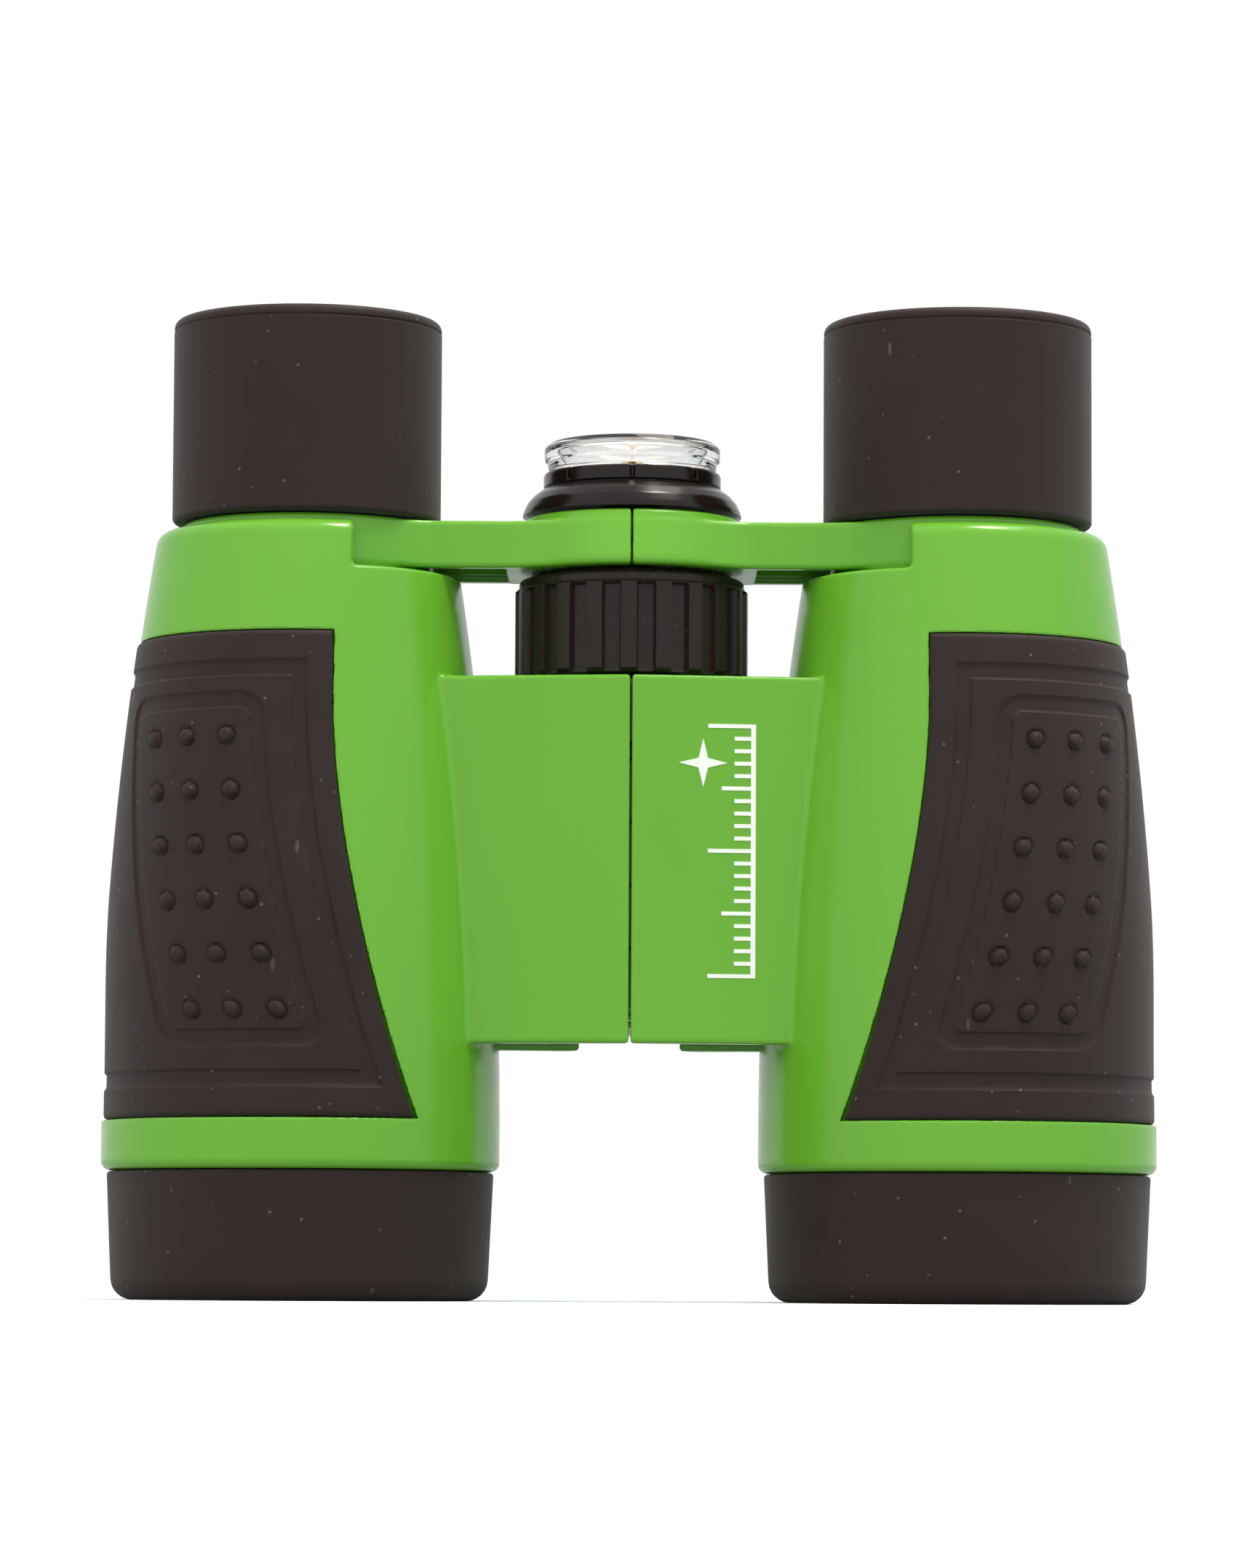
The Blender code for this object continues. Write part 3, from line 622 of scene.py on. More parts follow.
def arm_axes():
    levels = (ARM_BOTTOM, DISC_SPLIT, ARM_TOP + 0.4)
    wide = spaced(-KNUCKLE_RADIUS - 1.1, BARREL_X + NECK_RADIUS + 1.5, WIDE_STEP, 0.25, (SEAM,), 1.2)
    deep = spaced(-HUB_LOW_RADIUS - 1.3, HUB_LOW_RADIUS + 1.5, WIDE_STEP)
    tall = spaced(NECK_BOTTOM - 1.1, HUB_TOP + 1.5, TALL_STEP, 0.25, levels, 0.9)
    return wide, deep, tall


def build_arm(name, side, finish):
    mesh = field_mesh(f"bridge_half_{name}", arm_field(side), arm_axes(), side)
    add_piece(f"bridge_half_{name}", mesh, f"{name}_bridge", finish, [f"bridge_arm_{name}"])


# ---- objective end ----


def build_objective(name, side, finishes):
    x, body = side * BARREL_X, f"{name}_half"
    rim, cell = f"objective_ring_{name}", f"objective_cell_{name}"
    lens, retainer = f"objective_lens_{name}", f"objective_retainer_{name}"
    bottom, top, wide = low(rim, "z"), BARREL_BOTTOM - JOINT_LINE, high(rim, "y")
    cell_low, cell_high, cell_wide = round_size(cell)
    corners = [
        (MOUTH_RADIUS, bottom + 1.1, 0.3),
        (MOUTH_RADIUS + 0.7, bottom, 0.5),
        (wide - 0.6, bottom, 2.2),
        (wide, top, 0.35),
        (cell_wide + GAP, top),
        (cell_wide + GAP, cell_low - GAP),
        (MOUTH_RADIUS, cell_low - GAP),
    ]
    turned_piece(f"objective_rim_{name}", corners, body, finishes["rubber"], [rim], x=x)
    seat = high(lens, "y") + GAP
    stop_low, stop_high = STOP_HEIGHTS
    tube = [(seat, cell_low, 0.2), (cell_wide, cell_low), (cell_wide, cell_high), (seat, cell_high)]
    tube += [(seat, stop_high + 0.4), (STOP_BORE, stop_high), (STOP_BORE, stop_low), (seat, stop_low)]
    # Fine steps inside the mouth of the cell keep stray light down.
    tube += [(seat - BAFFLE_DEPTH * (step % 2), BAFFLE_TOP - BAFFLE_PITCH * step) for step in range(BAFFLES)]
    turned_piece(f"lens_cell_{name}", tube, body, finishes["inner"], [cell], x=x)
    hold_low, hold_high = RETAINER_HEIGHTS
    hold_wide = high(retainer, "y")
    hold = [(RETAINER_BORE, hold_low, 0.3), (hold_wide, hold_low), (hold_wide, hold_high)]
    hold += [(RETAINER_BORE + 0.4, hold_high, 0.2)]
    turned_piece(f"lens_retainer_{name}", hold, body, finishes["inner"], [retainer], x=x)
    glass = lens_corners(high(lens, "y"), FRONT_LENS_EDGES, FRONT_LENS_BULGES)
    turned_piece(f"front_lens_{name}", glass, body, finishes["glass"], [lens], x=x)


def lens_corners(radius, edges, bulges):
    """A lens with two shallow curved faces and a small bevel between each and its edge."""
    parts = np.sin(np.linspace(0, math.pi / 2, 16)) * (1 - 0.3 / radius)
    under = [(radius * part, edges[0] - bulges[0] * (1 - part**2)) for part in parts]
    over = [(radius * part, edges[1] + bulges[1] * (1 - part**2)) for part in parts[::-1]]
    return under + [(radius, edges[0] + LENS_BEVEL), (radius, edges[1] - LENS_BEVEL)] + over


# ---- eyepiece end ----


def build_eyepiece(name, side, finishes):
    x, body = side * BARREL_X, f"{name}_bridge"
    cup, tube = f"eyecup_{name}", f"eyepiece_tube_{name}"
    lens, retainer = f"eye_lens_{name}", f"eye_lens_retainer_{name}"
    bottom, top, wide = round_size(cup)
    tube_low, tube_high, tube_wide = round_size(tube)
    # A fine groove runs round the cup below its rim.
    groove, groove_wide = top - CUP_GROOVE_DROP, wide - 0.13
    corners = [
        (tube_wide + GAP, bottom, 0.2),
        (wide, bottom, 0.5),
        (wide, groove - 0.16, 0.1),
        (groove_wide, groove - 0.06, 0.05),
        (groove_wide, groove + 0.06, 0.05),
        (wide - 0.02, groove + 0.18, 0.1),
        (wide - 0.06, top, 0.8),
        (wide - 1.75, top, 0.5),
        (wide - 2.35, top - 1.0, 0.5),
        (*CUP_THROAT, 0.6),
        (CUP_BORE, tube_high + GAP, 0.2),
        (tube_wide + GAP, tube_high + GAP),
    ]
    turned_piece(f"rubber_cup_{name}", corners, body, finishes["rubber"], [cup], x=x)
    shelf_low, shelf_high = SHELF_HEIGHTS
    corners = [
        (TUBE_BORE, tube_low, 0.2),
        (tube_wide, tube_low, 0.3),
        (tube_wide, tube_high, 0.3),
        (TUBE_BORE, tube_high, 0.2),
        (TUBE_BORE, shelf_high + 0.2),
        (SHELF_BORE, shelf_high, 0.2),
        (SHELF_BORE, shelf_low, 0.2),
        (TUBE_BORE, shelf_low - 0.6),
    ]
    turned_piece(f"sliding_tube_{name}", corners, body, finishes["satin"], [tube], x=x)
    hold_low, hold_high = EYE_RETAINER_HEIGHTS
    hold = [(8.2, hold_low, 0.2), (EYE_RETAINER_RADIUS, hold_low)]
    hold += [(EYE_RETAINER_RADIUS, hold_high, 0.2), (8.6, hold_high, 0.6)]
    turned_piece(f"eye_retainer_{name}", hold, body, finishes["satin"], [retainer], x=x)
    glass = lens_corners(high(lens, "y"), EYE_LENS_EDGES, EYE_LENS_BULGES)
    turned_piece(f"eye_glass_{name}", glass, body, finishes["glass"], [lens], x=x)


# ---- focus drive and hinge hardware ----

WHEEL_BORE = 3.3
STUB_RADIUS = 4.2
STUB_BOTTOM = 55.9
JOURNAL_BOTTOM = 57.7
WHEEL_BOTTOM = 64.4
WHEEL_TOP = high("focus_wheel", "z")
WHEEL_RADIUS = 12.15
WHEEL_RIBS = 21
RIB_DEPTH = 0.6
RIB_BOTTOM = 64.5
RIB_TOP = 73.55
RIB_FLANK = math.radians(0.9)
FIRST_RIB = math.radians(-91.3)


def rib_angles():
    """Columns round the wheel, close together on the flanks of each rib."""
    pitch = math.tau / WHEEL_RIBS
    flank = RIB_FLANK / pitch
    part = np.array([0, 0.35, 0.7, 1.0]) * flank
    wall = np.concatenate([0.25 - flank / 2 + part, 0.75 - flank / 2 + part])
    share = np.sort(np.concatenate([wall, [0.0, 0.1, 0.18, 0.34, 0.42, 0.5, 0.58, 0.66, 0.84, 0.92]]))
    return FIRST_RIB + np.concatenate([(rib + share) * pitch for rib in range(WHEEL_RIBS)])


def rib_shape(radius, height, angle):
    pitch = math.tau / WHEEL_RIBS
    off_centre = np.abs((angle - FIRST_RIB + pitch / 2) % pitch - pitch / 2)
    groove = step_up(off_centre - pitch / 4, RIB_FLANK) * step_up(height - RIB_BOTTOM, 0.5)
    groove *= step_up(RIB_TOP - height, 0.3)
    floor = WHEEL_RADIUS - RIB_DEPTH * groove
    return np.where(height > WHEEL_BOTTOM + 0.01, np.minimum(radius, floor), radius)


def build_wheel(finishes):
    levels = [*np.linspace(WHEEL_BOTTOM + 0.6, RIB_TOP - 0.35, 24)]
    levels += [*np.linspace(RIB_TOP - 0.25, RIB_TOP + 0.1, 4)]
    corners = [
        (WHEEL_BORE, STUB_BOTTOM),
        (STUB_RADIUS, STUB_BOTTOM, 0.2),
        (STUB_RADIUS, JOURNAL_BOTTOM),
        (JOURNAL_RADIUS, JOURNAL_BOTTOM, 0.2),
        (JOURNAL_RADIUS, WHEEL_BOTTOM),
        (WHEEL_RADIUS - 0.5, WHEEL_BOTTOM, 0.15),
        (WHEEL_RADIUS, WHEEL_BOTTOM + 0.4, 0.15),
        *[(WHEEL_RADIUS, level) for level in levels],
    ]
    # A smooth, slightly narrower band runs round the wheel above its ribs.
    corners += [(11.78, 73.95, 0.1), (11.7, 74.85, 0.5), (10.7, 74.98)]
    corners += [(10.5, WHEEL_TOP, 0.3), (WHEEL_BORE, WHEEL_TOP, 0.3)]
    ribbed = {"angles": rib_angles(), "shape": rib_shape}
    turned_piece("ribbed_wheel", corners, "focus_wheel", finishes["wheel"], ["focus_wheel"], **ribbed)


def thread_shape(radius, height, angle):
    """A four-start thread with a 5 mm lead."""
    lead, starts, depth = 5.0, 4, 0.35
    wave = (height / lead + angle / math.tau) * starts % 1
    cut = np.clip(2.2 * np.abs(2 * wave - 1) - 0.6, 0, 1)
    return np.where(radius > 2.9, radius - depth * (1 - cut), radius)


def build_hardware(finishes):
    steel = finishes["steel"]
    bottom, top, wide = round_size("focus_screw")
    levels = np.linspace(bottom + 0.4, top - 0.4, 150)
    screw = [(0, bottom), (wide - 0.5, bottom), *[(wide, level) for level in levels]]
    screw += [(wide - 0.5, top), (0, top)]
    threaded = {"segments": 96, "shape": thread_shape}
    turned_piece("threaded_screw", screw, "left_bridge", steel, ["focus_screw"], **threaded)
    bottom, top, wide = round_size("hinge_pin")
    under = bottom + 1.0
    head = [(0, bottom), (2.6, bottom, 1.4), (wide, bottom + 0.45, 0.3), (wide, under, 0.1)]
    stem = [(PIN_RADIUS, under), (PIN_RADIUS, top - 0.3), (PIN_RADIUS - 0.3, top), (0, top)]
    turned_piece("headed_pin", head + stem, "left_half", steel, ["hinge_pin"], segments=64)
    bottom, top, wide = round_size("hinge_washer")
    bore = PIN_RADIUS + GAP
    washer = [(bore, bottom, 0.1), (wide, bottom, 0.2), (wide, top, 0.1), (bore, top, 0.1)]
    turned_piece("friction_washer", washer, "left_half", steel, ["hinge_washer"], segments=64)


# ---- compass ----

NOTCHES = 8
NOTCH_HALF_WIDTH = 0.22
NOTCH_DEPTH = 0.5
RING_RADIUS = 9.25
RING_BORE = 8.2
SCREW_SOCKET_TOP = 83.5


def bezel_angles():
    pitch = math.tau / NOTCHES
    half = NOTCH_HALF_WIDTH / RING_RADIUS / pitch
    near = np.array([-1.6, -1.25, -1.0, -0.75, -0.4, 0.0, 0.4, 0.75, 1.0, 1.25, 1.6]) * half
    rest = np.linspace(near[-1], 1 + near[0], 16)[1:-1]
    share = np.concatenate([near, rest])
    return -math.pi / 2 + np.concatenate([(notch + share) * pitch for notch in range(NOTCHES)])


def bezel_shape(radius, height, angle):
    pitch = math.tau / NOTCHES
    away = np.abs((angle + math.pi / 2 + pitch / 2) % pitch - pitch / 2) * RING_RADIUS
    inside = 1 - step_up(away - NOTCH_HALF_WIDTH, 0.2)
    high_up = step_up(height - (low("compass_ring", "z") + 0.3), 0.2)
    return np.where(radius > 8.6, radius - NOTCH_DEPTH * inside * high_up, radius)


def build_compass(finishes):
    body, gloss = "left_bridge", finishes["gloss"]
    screw = high("focus_screw", "y") + GAP
    bottom, top = low("compass_base", "z"), high("compass_base", "z")
    reach = top - bottom
    foot = [
        (0, SCREW_SOCKET_TOP),
        (screw, SCREW_SOCKET_TOP),
        (screw, bottom),
        (11.45, bottom, 0.08),
        (11.3, bottom + 0.21 * reach, 1.2),
        (10.92, bottom + 0.5 * reach, 1.3),
        (10.3, bottom + 0.76 * reach, 0.9),
        (9.4, top, 0.1),
        (0, top),
    ]
    turned_piece("compass_foot", foot, body, gloss, ["compass_base"])
    bottom, top, wide = round_size("compass_ring")
    ring = [(RING_BORE, bottom), (wide, bottom, 0.1)]
    ring += [(wide, level) for level in np.linspace(bottom + 0.4, top - 0.35, 6)]
    ring += [(wide - 0.1, top - 0.12), (wide - 0.3, top), (RING_BORE, top, 0.1)]
    notched = {"angles": bezel_angles(), "shape": bezel_shape}
    turned_piece("compass_bezel", ring, body, gloss, ["compass_ring"], **notched)
    bottom, top, wide = round_size("compass_dial")
    disc = [(0, bottom), (wide, bottom, 0.15), (wide, top, 0.15), (0, top)]
    turned_piece("compass_card", disc, body, finishes["card"], ["compass_dial"])
    build_cap(finishes)
    build_dial_marks(finishes, top)
    bottom, top, wide = round_size("compass_pivot")
    pivot = [(0, bottom), (1.1, bottom, 0.1), (1.1, bottom + 0.25, 0.1), (wide, bottom + 0.35)]
    pivot += [(wide, top - 0.3), (0.12, top), (0, top)]
    turned_piece("brass_pivot", pivot, body, finishes["brass"], ["compass_pivot"], segments=48)
    build_needle(finishes)


def build_cap(finishes):
    bottom, top, wide = round_size("compass_cap")
    roof = top - 0.8
    cap = [
        (8.0, bottom),
        (8.75, bottom, 0.15),
        (8.85, bottom + 0.7, 0.25),
        (wide - 0.05, bottom + 1.0, 0.25),
        (wide, top - 0.6, 0.5),
        (8.55, top, 0.6),
        (0, top),
        (0, roof),
        (8.0, roof, 0.4),
    ]
    turned_piece("clear_cap", cap, "left_bridge", finishes["clear"], ["compass_cap"])


def flat_prism(outline, bottom, top):
    """Points and faces of an (x, y) outline with a thickness."""
    count = len(outline)
    points = [(x, y, bottom) for x, y in outline] + [(x, y, top) for x, y in outline]
    sides = [[k, (k + 1) % count, count + (k + 1) % count, count + k] for k in range(count)]
    return points, [list(range(count))[::-1], list(range(count, 2 * count)), *sides]


def merged(name, parts):
    points, faces = [], []
    for part_points, part_faces in parts:
        start = len(points)
        points += part_points
        faces += [[start + corner for corner in face] for face in part_faces]
    return mesh_of(name, points, faces)


def turned_about(outline, angle):
    turn = np.array([[math.cos(angle), -math.sin(angle)], [math.sin(angle), math.cos(angle)]])
    return [tuple(turn @ np.array(point)) for point in outline]


def build_dial_marks(finishes, level):
    """Printed ticks every ten degrees and an eight-pointed star."""
    bottom, top = level - 0.05, level + 0.03
    ticks, points, rim, waist = 36, 8, 7.55, (1.25, 0.48)
    dark, red = [], []
    for tick in range(ticks):
        inner = 6.0 if tick % 9 == 0 else 6.7 if tick % 3 == 0 else 7.1
        half = 0.16 if tick % 9 == 0 else 0.07
        outline = [(inner, -half), (rim, -half), (rim, half), (inner, half)]
        dark.append(flat_prism(turned_about(outline, tick * math.tau / ticks), bottom, top))
    for point in range(points):
        length = 5.4 if point % 2 == 0 else 3.4
        outline = [(waist[0], -waist[1]), (length, 0.0), waist]
        solid = flat_prism(turned_about(outline, point * math.tau / points), bottom, top)
        (red if point == 2 else dark).append(solid)
    for name, solids, finish in (("dial_marks", dark, "ink"), ("dial_north_mark", red, "paint")):
        mesh = merged(name, solids)
        mesh.shade_flat()
        add_piece(name, mesh, "left_bridge", finishes[finish])


def build_needle(finishes):
    """A lozenge needle with a ridge along its middle; the south half is bare steel."""
    bottom, top, long = round_size("compass_needle")
    blade_low, ridge, edge = bottom + 0.12, bottom + 0.5, bottom + 0.25
    half = 1.1
    faces = [[0, 2, 4], [0, 4, 6], [0, 1, 2], [0, 6, 5], [0, 3, 1], [0, 5, 3], [1, 3, 4, 2], [3, 5, 6, 4]]
    for name, way, finish in (("needle_north", 1, "paint"), ("needle_south", -1, "steel")):
        points = [
            (0, way * long, blade_low + 0.05),
            (half, 0, blade_low),
            (half, 0, edge),
            (0, 0, blade_low),
            (0, 0, ridge),
            (-half, 0, blade_low),
            (-half, 0, edge),
        ]
        mesh = mesh_of(name, points, faces)
        weld(mesh)
        mesh.shade_flat()
        replaced = ["compass_needle"] if way > 0 else []
        add_piece(name, mesh, "compass_needle", finishes[finish], replaced)
    boss = [(0, bottom), (1.3, bottom, 0.15), (1.3, bottom + 0.5, 0.3), (0.7, top, 0.3), (0, top)]
    turned_piece("needle_boss", boss, "compass_needle", finishes["brass"], segments=64)


# ---- print on the right-hand plate ----


def build_print(finishes):
    """A plain ornament in white: a four-pointed star beside a rule with ticks of three lengths."""
    lift, line = 0.05, 0.2
    rule, low_end, high_end, spacing, ticks = 12.3, 33.0, 59.0, 1.28, 21
    outlines = [[(rule, low_end), (rule + 0.5, low_end), (rule + 0.5, high_end), (rule, high_end)]]
    for tick in range(ticks):
        z = low_end + line + spacing * tick
        end = rule - (4.4 if tick % 10 == 0 else 3.0 if tick % 5 == 0 else 1.7)
        outlines.append([(end, z - line), (rule, z - line), (rule, z + line), (end, z + line)])
    star_x, star_z, points = 7.4, 55.0, 8
    star = []
    for point in range(points):
        reach = 2.5 if point % 2 == 0 else 0.7
        angle = point * math.tau / points
        star.append((star_x + reach * math.sin(angle), star_z + reach * math.cos(angle)))
    solids = []
    for outline in [*outlines, star]:
        flat, faces = flat_prism(outline, -lift, lift)
        solids.append(([(x, PLATE_SLOPE * x - PLATE_FRONT - out, z) for x, z, out in flat], faces))
    mesh = merged("plate_print", solids)
    weld(mesh)
    mesh.shade_flat()
    add_piece("plate_print", mesh, "right_half", finishes["print"])


# ---- materials ----


def plain(name, colour, roughness, metallic=0.0, settings=None):
    made = bpy.data.materials.new(name)
    made.use_nodes = True
    shader = made.node_tree.nodes["Principled BSDF"]
    shader.inputs["Base Color"].default_value = (*colour, 1.0)
    shader.inputs["Roughness"].default_value = roughness
    shader.inputs["Metallic"].default_value = metallic
    for socket, value in (settings or {}).items():
        shader.inputs[socket].default_value = value
    return made


def texture(made, kind, size, stretch=(1, 1, 1)):
    """A texture whose features are about size millimetres across."""
    nodes, links = made.node_tree.nodes, made.node_tree.links
    place, mapping, node = nodes.new("ShaderNodeTexCoord"), nodes.new("ShaderNodeMapping"), nodes.new(kind)
    mapping.inputs["Scale"].default_value = [part / (size * MM) for part in stretch]
    node.inputs["Scale"].default_value = 1.0
    links.new(place.outputs["Object"], mapping.inputs["Vector"])
    links.new(mapping.outputs["Vector"], node.inputs["Vector"])
    return node


def noise(made, size, detail=2.0, stretch=(1, 1, 1), roughness=0.5):
    node = texture(made, "ShaderNodeTexNoise", size, stretch)
    node.inputs["Detail"].default_value = detail
    node.inputs["Roughness"].default_value = roughness
    return node.outputs["Fac"]


def ranged(made, source, span, result=(0.0, 1.0)):
    """Maps source from one range to another, held at both ends."""
    node = made.node_tree.nodes.new("ShaderNodeMapRange")
    for socket, value in zip(("From Min", "From Max", "To Min", "To Max"), (*span, *result)):
        node.inputs[socket].default_value = value
    made.node_tree.links.new(source, node.inputs["Value"])
    return node.outputs["Result"]


def maths(made, operation, one, two):
    node = made.node_tree.nodes.new("ShaderNodeMath")
    node.operation = operation
    for number, value in enumerate((one, two)):
        if isinstance(value, (int, float)):
            node.inputs[number].default_value = value
        else:
            made.node_tree.links.new(value, node.inputs[number])
    return node.outputs["Value"]


def blended(made, factor, one, two):
    """A colour between two, each of them a colour or a socket."""
    node = made.node_tree.nodes.new("ShaderNodeMix")
    node.data_type = "RGBA"
    made.node_tree.links.new(factor, node.inputs["Factor"])
    for socket, value in ((node.inputs[6], one), (node.inputs[7], two)):
        if isinstance(value, tuple):
            socket.default_value = (*value, 1.0)
        else:
            made.node_tree.links.new(value, socket)
    return node.outputs[2]


def bumped(made, *layers):
    """Bump layers, each (height socket, depth in millimetres)."""
    nodes, links = made.node_tree.nodes, made.node_tree.links
    normal = None
    for height, depth in layers:
        node = nodes.new("ShaderNodeBump")
        node.inputs["Distance"].default_value = depth * MM
        links.new(height, node.inputs["Height"])
        if normal:
            links.new(normal, node.inputs["Normal"])
        normal = node.outputs["Normal"]
    links.new(normal, nodes["Principled BSDF"].inputs["Normal"])


def feed(made, socket, source):
    made.node_tree.links.new(source, made.node_tree.nodes["Principled BSDF"].inputs[socket])


def specks(made, size, share, radius, stretch=(1, 1, 1)):
    """Small scattered marks: 1 on a mark. share is how many of the cells hold one."""
    cells = texture(made, "ShaderNodeTexVoronoi", size, stretch)
    spot = ranged(made, cells.outputs["Distance"], (radius * 0.6, radius), (1.0, 0.0))
    colour = made.node_tree.nodes.new("ShaderNodeSeparateColor")
    made.node_tree.links.new(cells.outputs["Color"], colour.inputs["Color"])
    chosen = maths(made, "LESS_THAN", colour.outputs["Red"], share)
    fainter = ranged(made, colour.outputs["Green"], (0.0, 1.0), (0.25, 1.0))
    return maths(made, "MULTIPLY", maths(made, "MULTIPLY", spot, chosen), fainter)


def green_plastic():
    """Glossy moulded plastic with faint flow variation and hairline handling marks."""
    made = plain("green_gloss", (0.132, 0.405, 0.025), 0.2)
    flow = ranged(made, noise(made, 22.0, 3.0, (1, 1, 0.4)), (0.3, 0.7))
    feed(made, "Base Color", blended(made, flow, (0.126, 0.395, 0.0235), (0.139, 0.414, 0.027)))
    marks = specks(made, 3.2, 0.06, 0.16, (1.0, 1.0, 0.22))
    rough = ranged(made, noise(made, 5.0, 6.0, roughness=0.6), (0.35, 0.7), (0.17, 0.24))
    feed(made, "Roughness", maths(made, "ADD", rough, maths(made, "MULTIPLY", marks, 0.25)))
    bumped(made, (noise(made, 1.6), 0.004))
    return made


def black_rubber():
    """Matt rubber with a fine grain, dust specks and short pale scuffs."""
    settings = {"Specular IOR Level": 0.25, "Sheen Weight": 0.07}
    made = plain("black_rubber", (0.023, 0.0135, 0.0130), 0.58, settings=settings)
    cloud = noise(made, 9.0, 4.0)
    share = ranged(made, cloud, (0.35, 0.68))
    base = blended(made, share, (0.020, 0.0115, 0.0112), (0.026, 0.0155, 0.0148))
    dust = specks(made, 1.5, 0.3, 0.13)
    scuffs = specks(made, 2.6, 0.3, 0.10, (1.0, 1.0, 0.3))
    marks = maths(made, "MAXIMUM", dust, scuffs)
    pale = maths(made, "MULTIPLY", marks, 0.4)
    feed(made, "Base Color", blended(made, pale, base, (0.24, 0.215, 0.20)))
    feed(made, "Roughness", ranged(made, cloud, (0.3, 0.7), (0.56, 0.68)))
    bumped(made, (noise(made, 0.22), 0.012), (marks, 0.02))
    return made


def black_gloss():
    made = plain("black_gloss", (0.008, 0.004, 0.004), 0.2, settings={"Specular IOR Level": 0.36})
    feed(made, "Roughness", ranged(made, noise(made, 4.0, 5.0), (0.35, 0.7), (0.17, 0.25)))
    bumped(made, (noise(made, 1.2), 0.003))
    return made


def wheel_plastic():
    """Satin black plastic with dust specks scattered over it."""
    made = plain("wheel_plastic", (0.020, 0.0115, 0.011), 0.27, settings={"Specular IOR Level": 0.28})
    dust = maths(made, "MULTIPLY", specks(made, 1.1, 0.25, 0.10), 0.5)
    feed(made, "Base Color", blended(made, dust, (0.018, 0.0115, 0.011), (0.22, 0.20, 0.19)))
    feed(made, "Roughness", ranged(made, noise(made, 3.0, 5.0), (0.35, 0.7), (0.22, 0.34)))
    bumped(made, (noise(made, 0.5), 0.006))
    return made


def matt_black(name, roughness):
    made = plain(name, (0.016, 0.0155, 0.015), roughness)
    wear = ranged(made, noise(made, 6.0, 4.0), (0.3, 0.7), (roughness - 0.07, roughness + 0.07))
    feed(made, "Roughness", wear)
    bumped(made, (noise(made, 0.3), 0.006))
    return made


def metal(name, colour, roughness):
    """Turned metal with fine lines round it."""
    made = plain(name, colour, roughness, 1.0)
    turning = noise(made, 0.5, 3.0, (0.15, 0.15, 3.0))
    feed(made, "Roughness", ranged(made, turning, (0.3, 0.7), (roughness - 0.07, roughness + 0.1)))
    bumped(made, (turning, 0.002))
    return made


def clear_plastic():
    settings = {"Transmission Weight": 1.0, "IOR": 1.49}
    return plain("clear_cap", (0.97, 0.98, 0.975), 0.015, settings=settings)


def lens_glass():
    """Crown glass with a thin cool coating."""
    glass = {"Transmission Weight": 1.0, "IOR": 1.52}
    coating = {"Coat Weight": 0.6, "Coat Roughness": 0.0, "Coat Tint": (0.55, 0.6, 1.0, 1.0)}
    return plain("coated_glass", (0.93, 0.97, 1.0), 0.0, settings={**glass, **coating})


def card():
    made = plain("printed_card", (0.82, 0.82, 0.79), 0.6)
    fibre = noise(made, 0.4, 4.0)
    share = ranged(made, fibre, (0.3, 0.7))
    feed(made, "Base Color", blended(made, share, (0.79, 0.79, 0.76), (0.85, 0.85, 0.82)))
    bumped(made, (fibre, 0.004))
    return made


def paint(name, one, two, roughness):
    made = plain(name, one, roughness)
    share = ranged(made, noise(made, 1.5, 4.0), (0.3, 0.7))
    feed(made, "Base Color", blended(made, share, one, two))
    return made


def build_finishes():
    """Each finish is one of the record's slots and the material that stands for it."""
    return {
        "green": ("green_plastic", green_plastic()),
        "rubber": ("black_rubber", black_rubber()),
        "gloss": ("black_plastic", black_gloss()),
        "wheel": ("black_plastic", wheel_plastic()),
        "satin": ("black_plastic", matt_black("satin_black", 0.35)),
        "inner": ("inner_plastic", matt_black("matt_black", 0.7)),
        "clear": ("clear_plastic", clear_plastic()),
        "glass": ("lens", lens_glass()),
        "steel": ("steel", metal("zinc_steel", (0.62, 0.62, 0.61), 0.28)),
        "brass": ("brass", metal("turned_brass", (0.72, 0.52, 0.22), 0.25)),
        "card": ("dial_card", card()),
        "ink": ("black_plastic", paint("dial_ink", (0.02, 0.02, 0.022), (0.03, 0.03, 0.032), 0.5)),
        "paint": ("needle_paint", paint("needle_red", (0.55, 0.03, 0.02), (0.62, 0.045, 0.03), 0.35)),
        "print": ("dial_card", paint("white_print", (0.86, 0.87, 0.84), (0.92, 0.92, 0.90), 0.35)),
    }


# ---- studio ----

WALL_LIGHT = 0.9
SHADE_COLOUR = (0.78, 1.0, 1.06)
FLOOR_BOUNCE = 0.4


def build_camera():
    """In front and low, tipped up a little, with a long lens."""
    aside, distance, height = -0.33, 620.0, 3.0
    tilt, roll = math.radians(4.68), math.radians(0.3)
    data = bpy.data.cameras.new("camera")
    data.lens = 137.1
    data.sensor_width = 36.0
    data.clip_start = 0.01
    camera = placed("camera", data)
    turn = Matrix.Rotation(math.pi / 2 + tilt, 4, "X") @ Matrix.Rotation(roll, 4, "Z")
    camera.matrix_world = Matrix.Translation(Vector((aside, -distance, height)) * MM) @ turn
    bpy.context.scene.camera = camera


def add_light(name, kind, power, colour, aim):
    """A light that shines along aim."""
    data = bpy.data.lights.new(name, kind)
    data.energy = power
    data.color = colour
    light = placed(name, data)
    light.rotation_mode = "QUATERNION"
    light.rotation_quaternion = aim.to_track_quat("-Z", "Y")
    return light


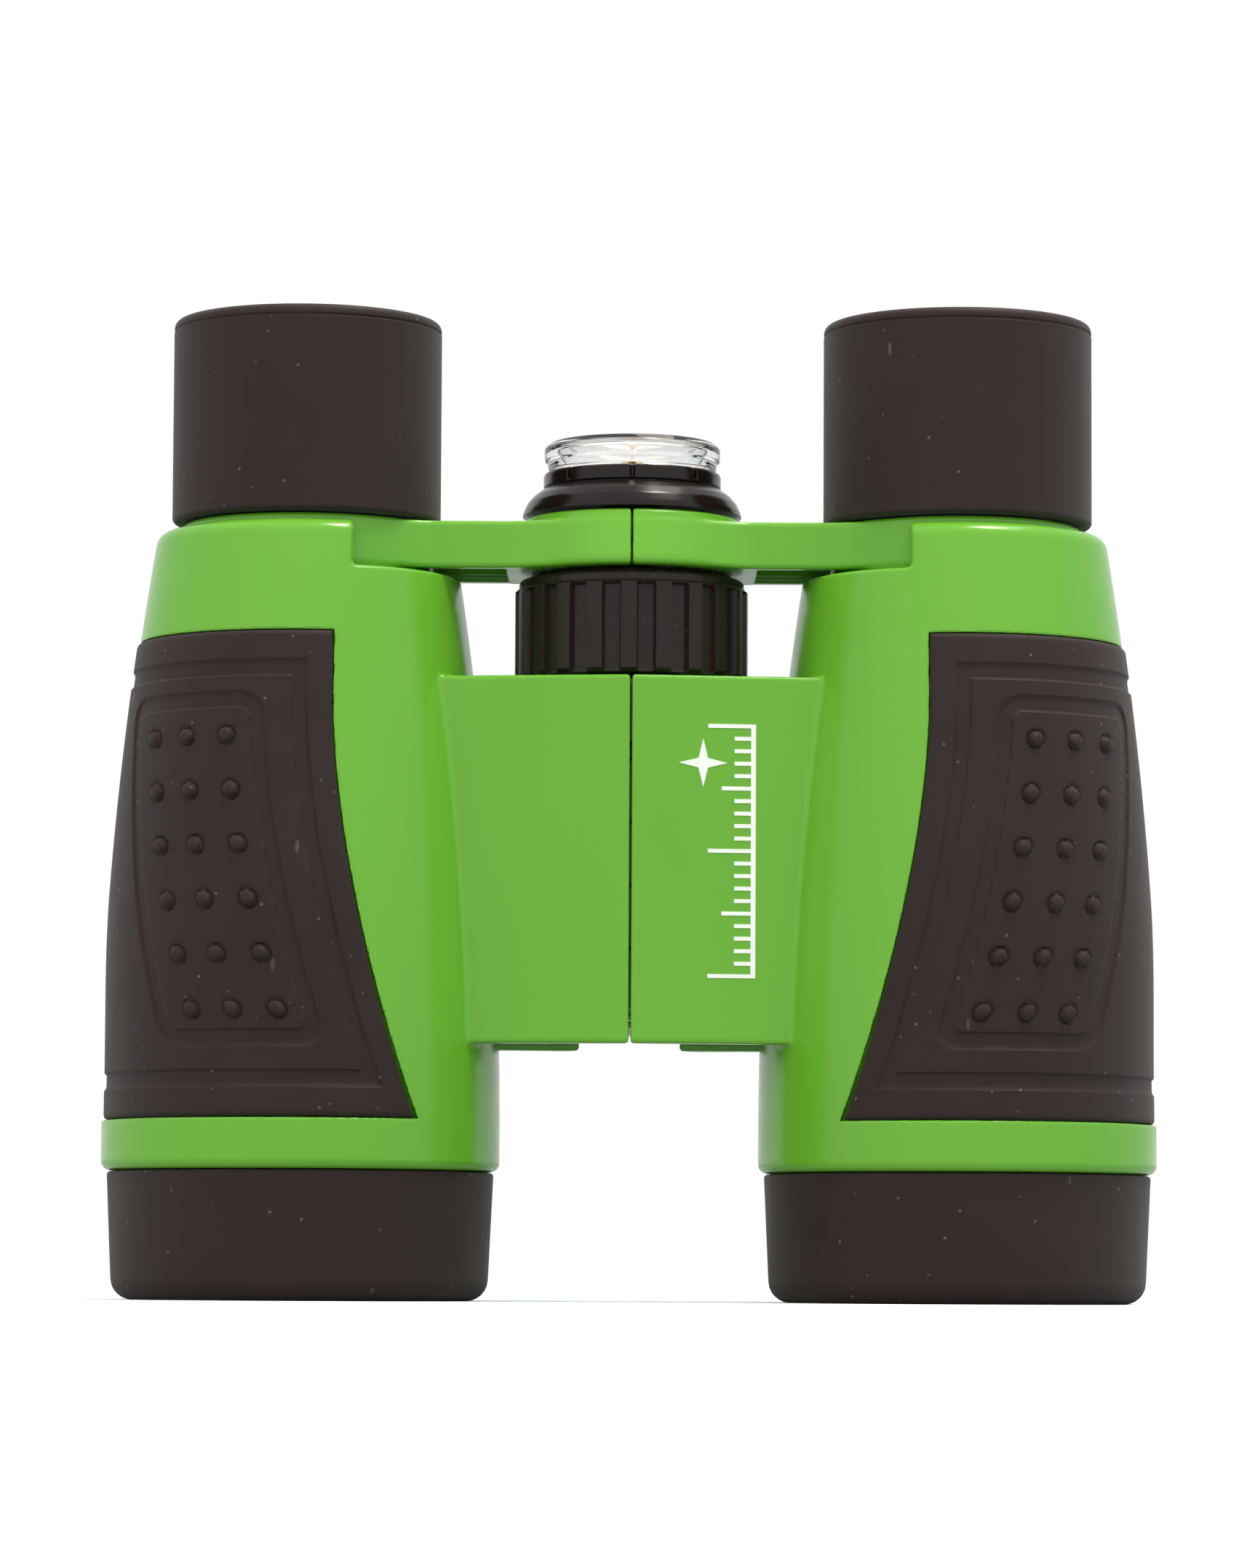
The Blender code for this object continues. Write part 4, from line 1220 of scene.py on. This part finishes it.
def area_light(name, place, target, size, power, colour):
    light = add_light(name, "AREA", power, colour, Vector(target) - Vector(place))
    light.location = Vector(place) * MM
    light.data.shape = "RECTANGLE"
    light.data.size, light.data.size_y = (part * MM for part in size)


def sun_light(name, towards, spread, strength, colour):
    """Soft light from afar, too wide to show as a reflection."""
    light = add_light(name, "SUN", strength, colour, -Vector(towards))
    light.data.angle = math.radians(spread)
    light.visible_glossy = False


def build_studio():
    build_wall()
    build_floor()
    centre = (0, 0, 50)
    sun_light("daylight", (-0.35, -0.75, 1.0), 90, 1.7, (1.0, 0.76, 0.56))
    area_light("overhead", (240, 100, 900), centre, (1050, 320), 3.4, (1.0, 0.92, 0.8))
    area_light("high_front", (240, -160, 880), centre, (210, 200), 2.8, (1.0, 0.94, 0.86))
    bpy.context.scene.view_settings.view_transform = "Standard"


def build_wall():
    """An even white wall all round, a little dimmer and cooler in the light that it casts."""
    world = bpy.data.worlds.new("studio")
    world.use_nodes = True
    bpy.context.scene.world = world
    sky = world.node_tree.nodes["Background"]
    ray = world.node_tree.nodes.new("ShaderNodeLightPath").outputs
    seen = maths(world, "MAXIMUM", ray["Is Camera Ray"], ray["Is Transmission Ray"])
    strength = ranged(world, seen, (0.0, 1.0), (WALL_LIGHT, 1.0))
    world.node_tree.links.new(strength, sky.inputs["Strength"])
    colour = blended(world, ray["Is Diffuse Ray"], (1.0, 1.0, 1.0), SHADE_COLOUR)
    world.node_tree.links.new(colour, sky.inputs["Color"])


def build_floor():
    half = 4000 * MM
    corners = [(-half, -half, 0), (half, -half, 0), (half, half, 0), (-half, half, 0)]
    mesh = bpy.data.meshes.new("floor")
    mesh.from_pydata(corners, [], [(0, 1, 2, 3)])
    floor = placed("floor", mesh)
    paper = plain("pale_floor", (0.9, 0.9, 0.9), 0.9, settings={"Specular IOR Level": 0.0})
    seen = paper.node_tree.nodes.new("ShaderNodeLightPath").outputs["Is Camera Ray"]
    feed(paper, "Base Color", blended(paper, seen, (FLOOR_BOUNCE,) * 3, (0.97, 0.97, 0.97)))
    mesh.materials.append(paper)


# ---- assembly ----


def repaint(name, finish):
    """A CAD node that is kept gets a better finish."""
    slot, material = finish
    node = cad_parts[name]
    for place in node.material_slots:
        place.material = material


def main():
    finishes = build_finishes()
    for name, side in SIDES.items():
        build_barrel(name, side, finishes["green"])
        build_grip(name, side, finishes["rubber"])
        build_objective(name, side, finishes)
        build_eyepiece(name, side, finishes)
        build_arm(name, side, finishes["green"])
        repaint(f"guide_bush_{name}", finishes["inner"])
    repaint("wheel_clip", finishes["steel"])
    build_wheel(finishes)
    build_hardware(finishes)
    build_compass(finishes)
    build_print(finishes)
    build_camera()
    build_studio()


main()
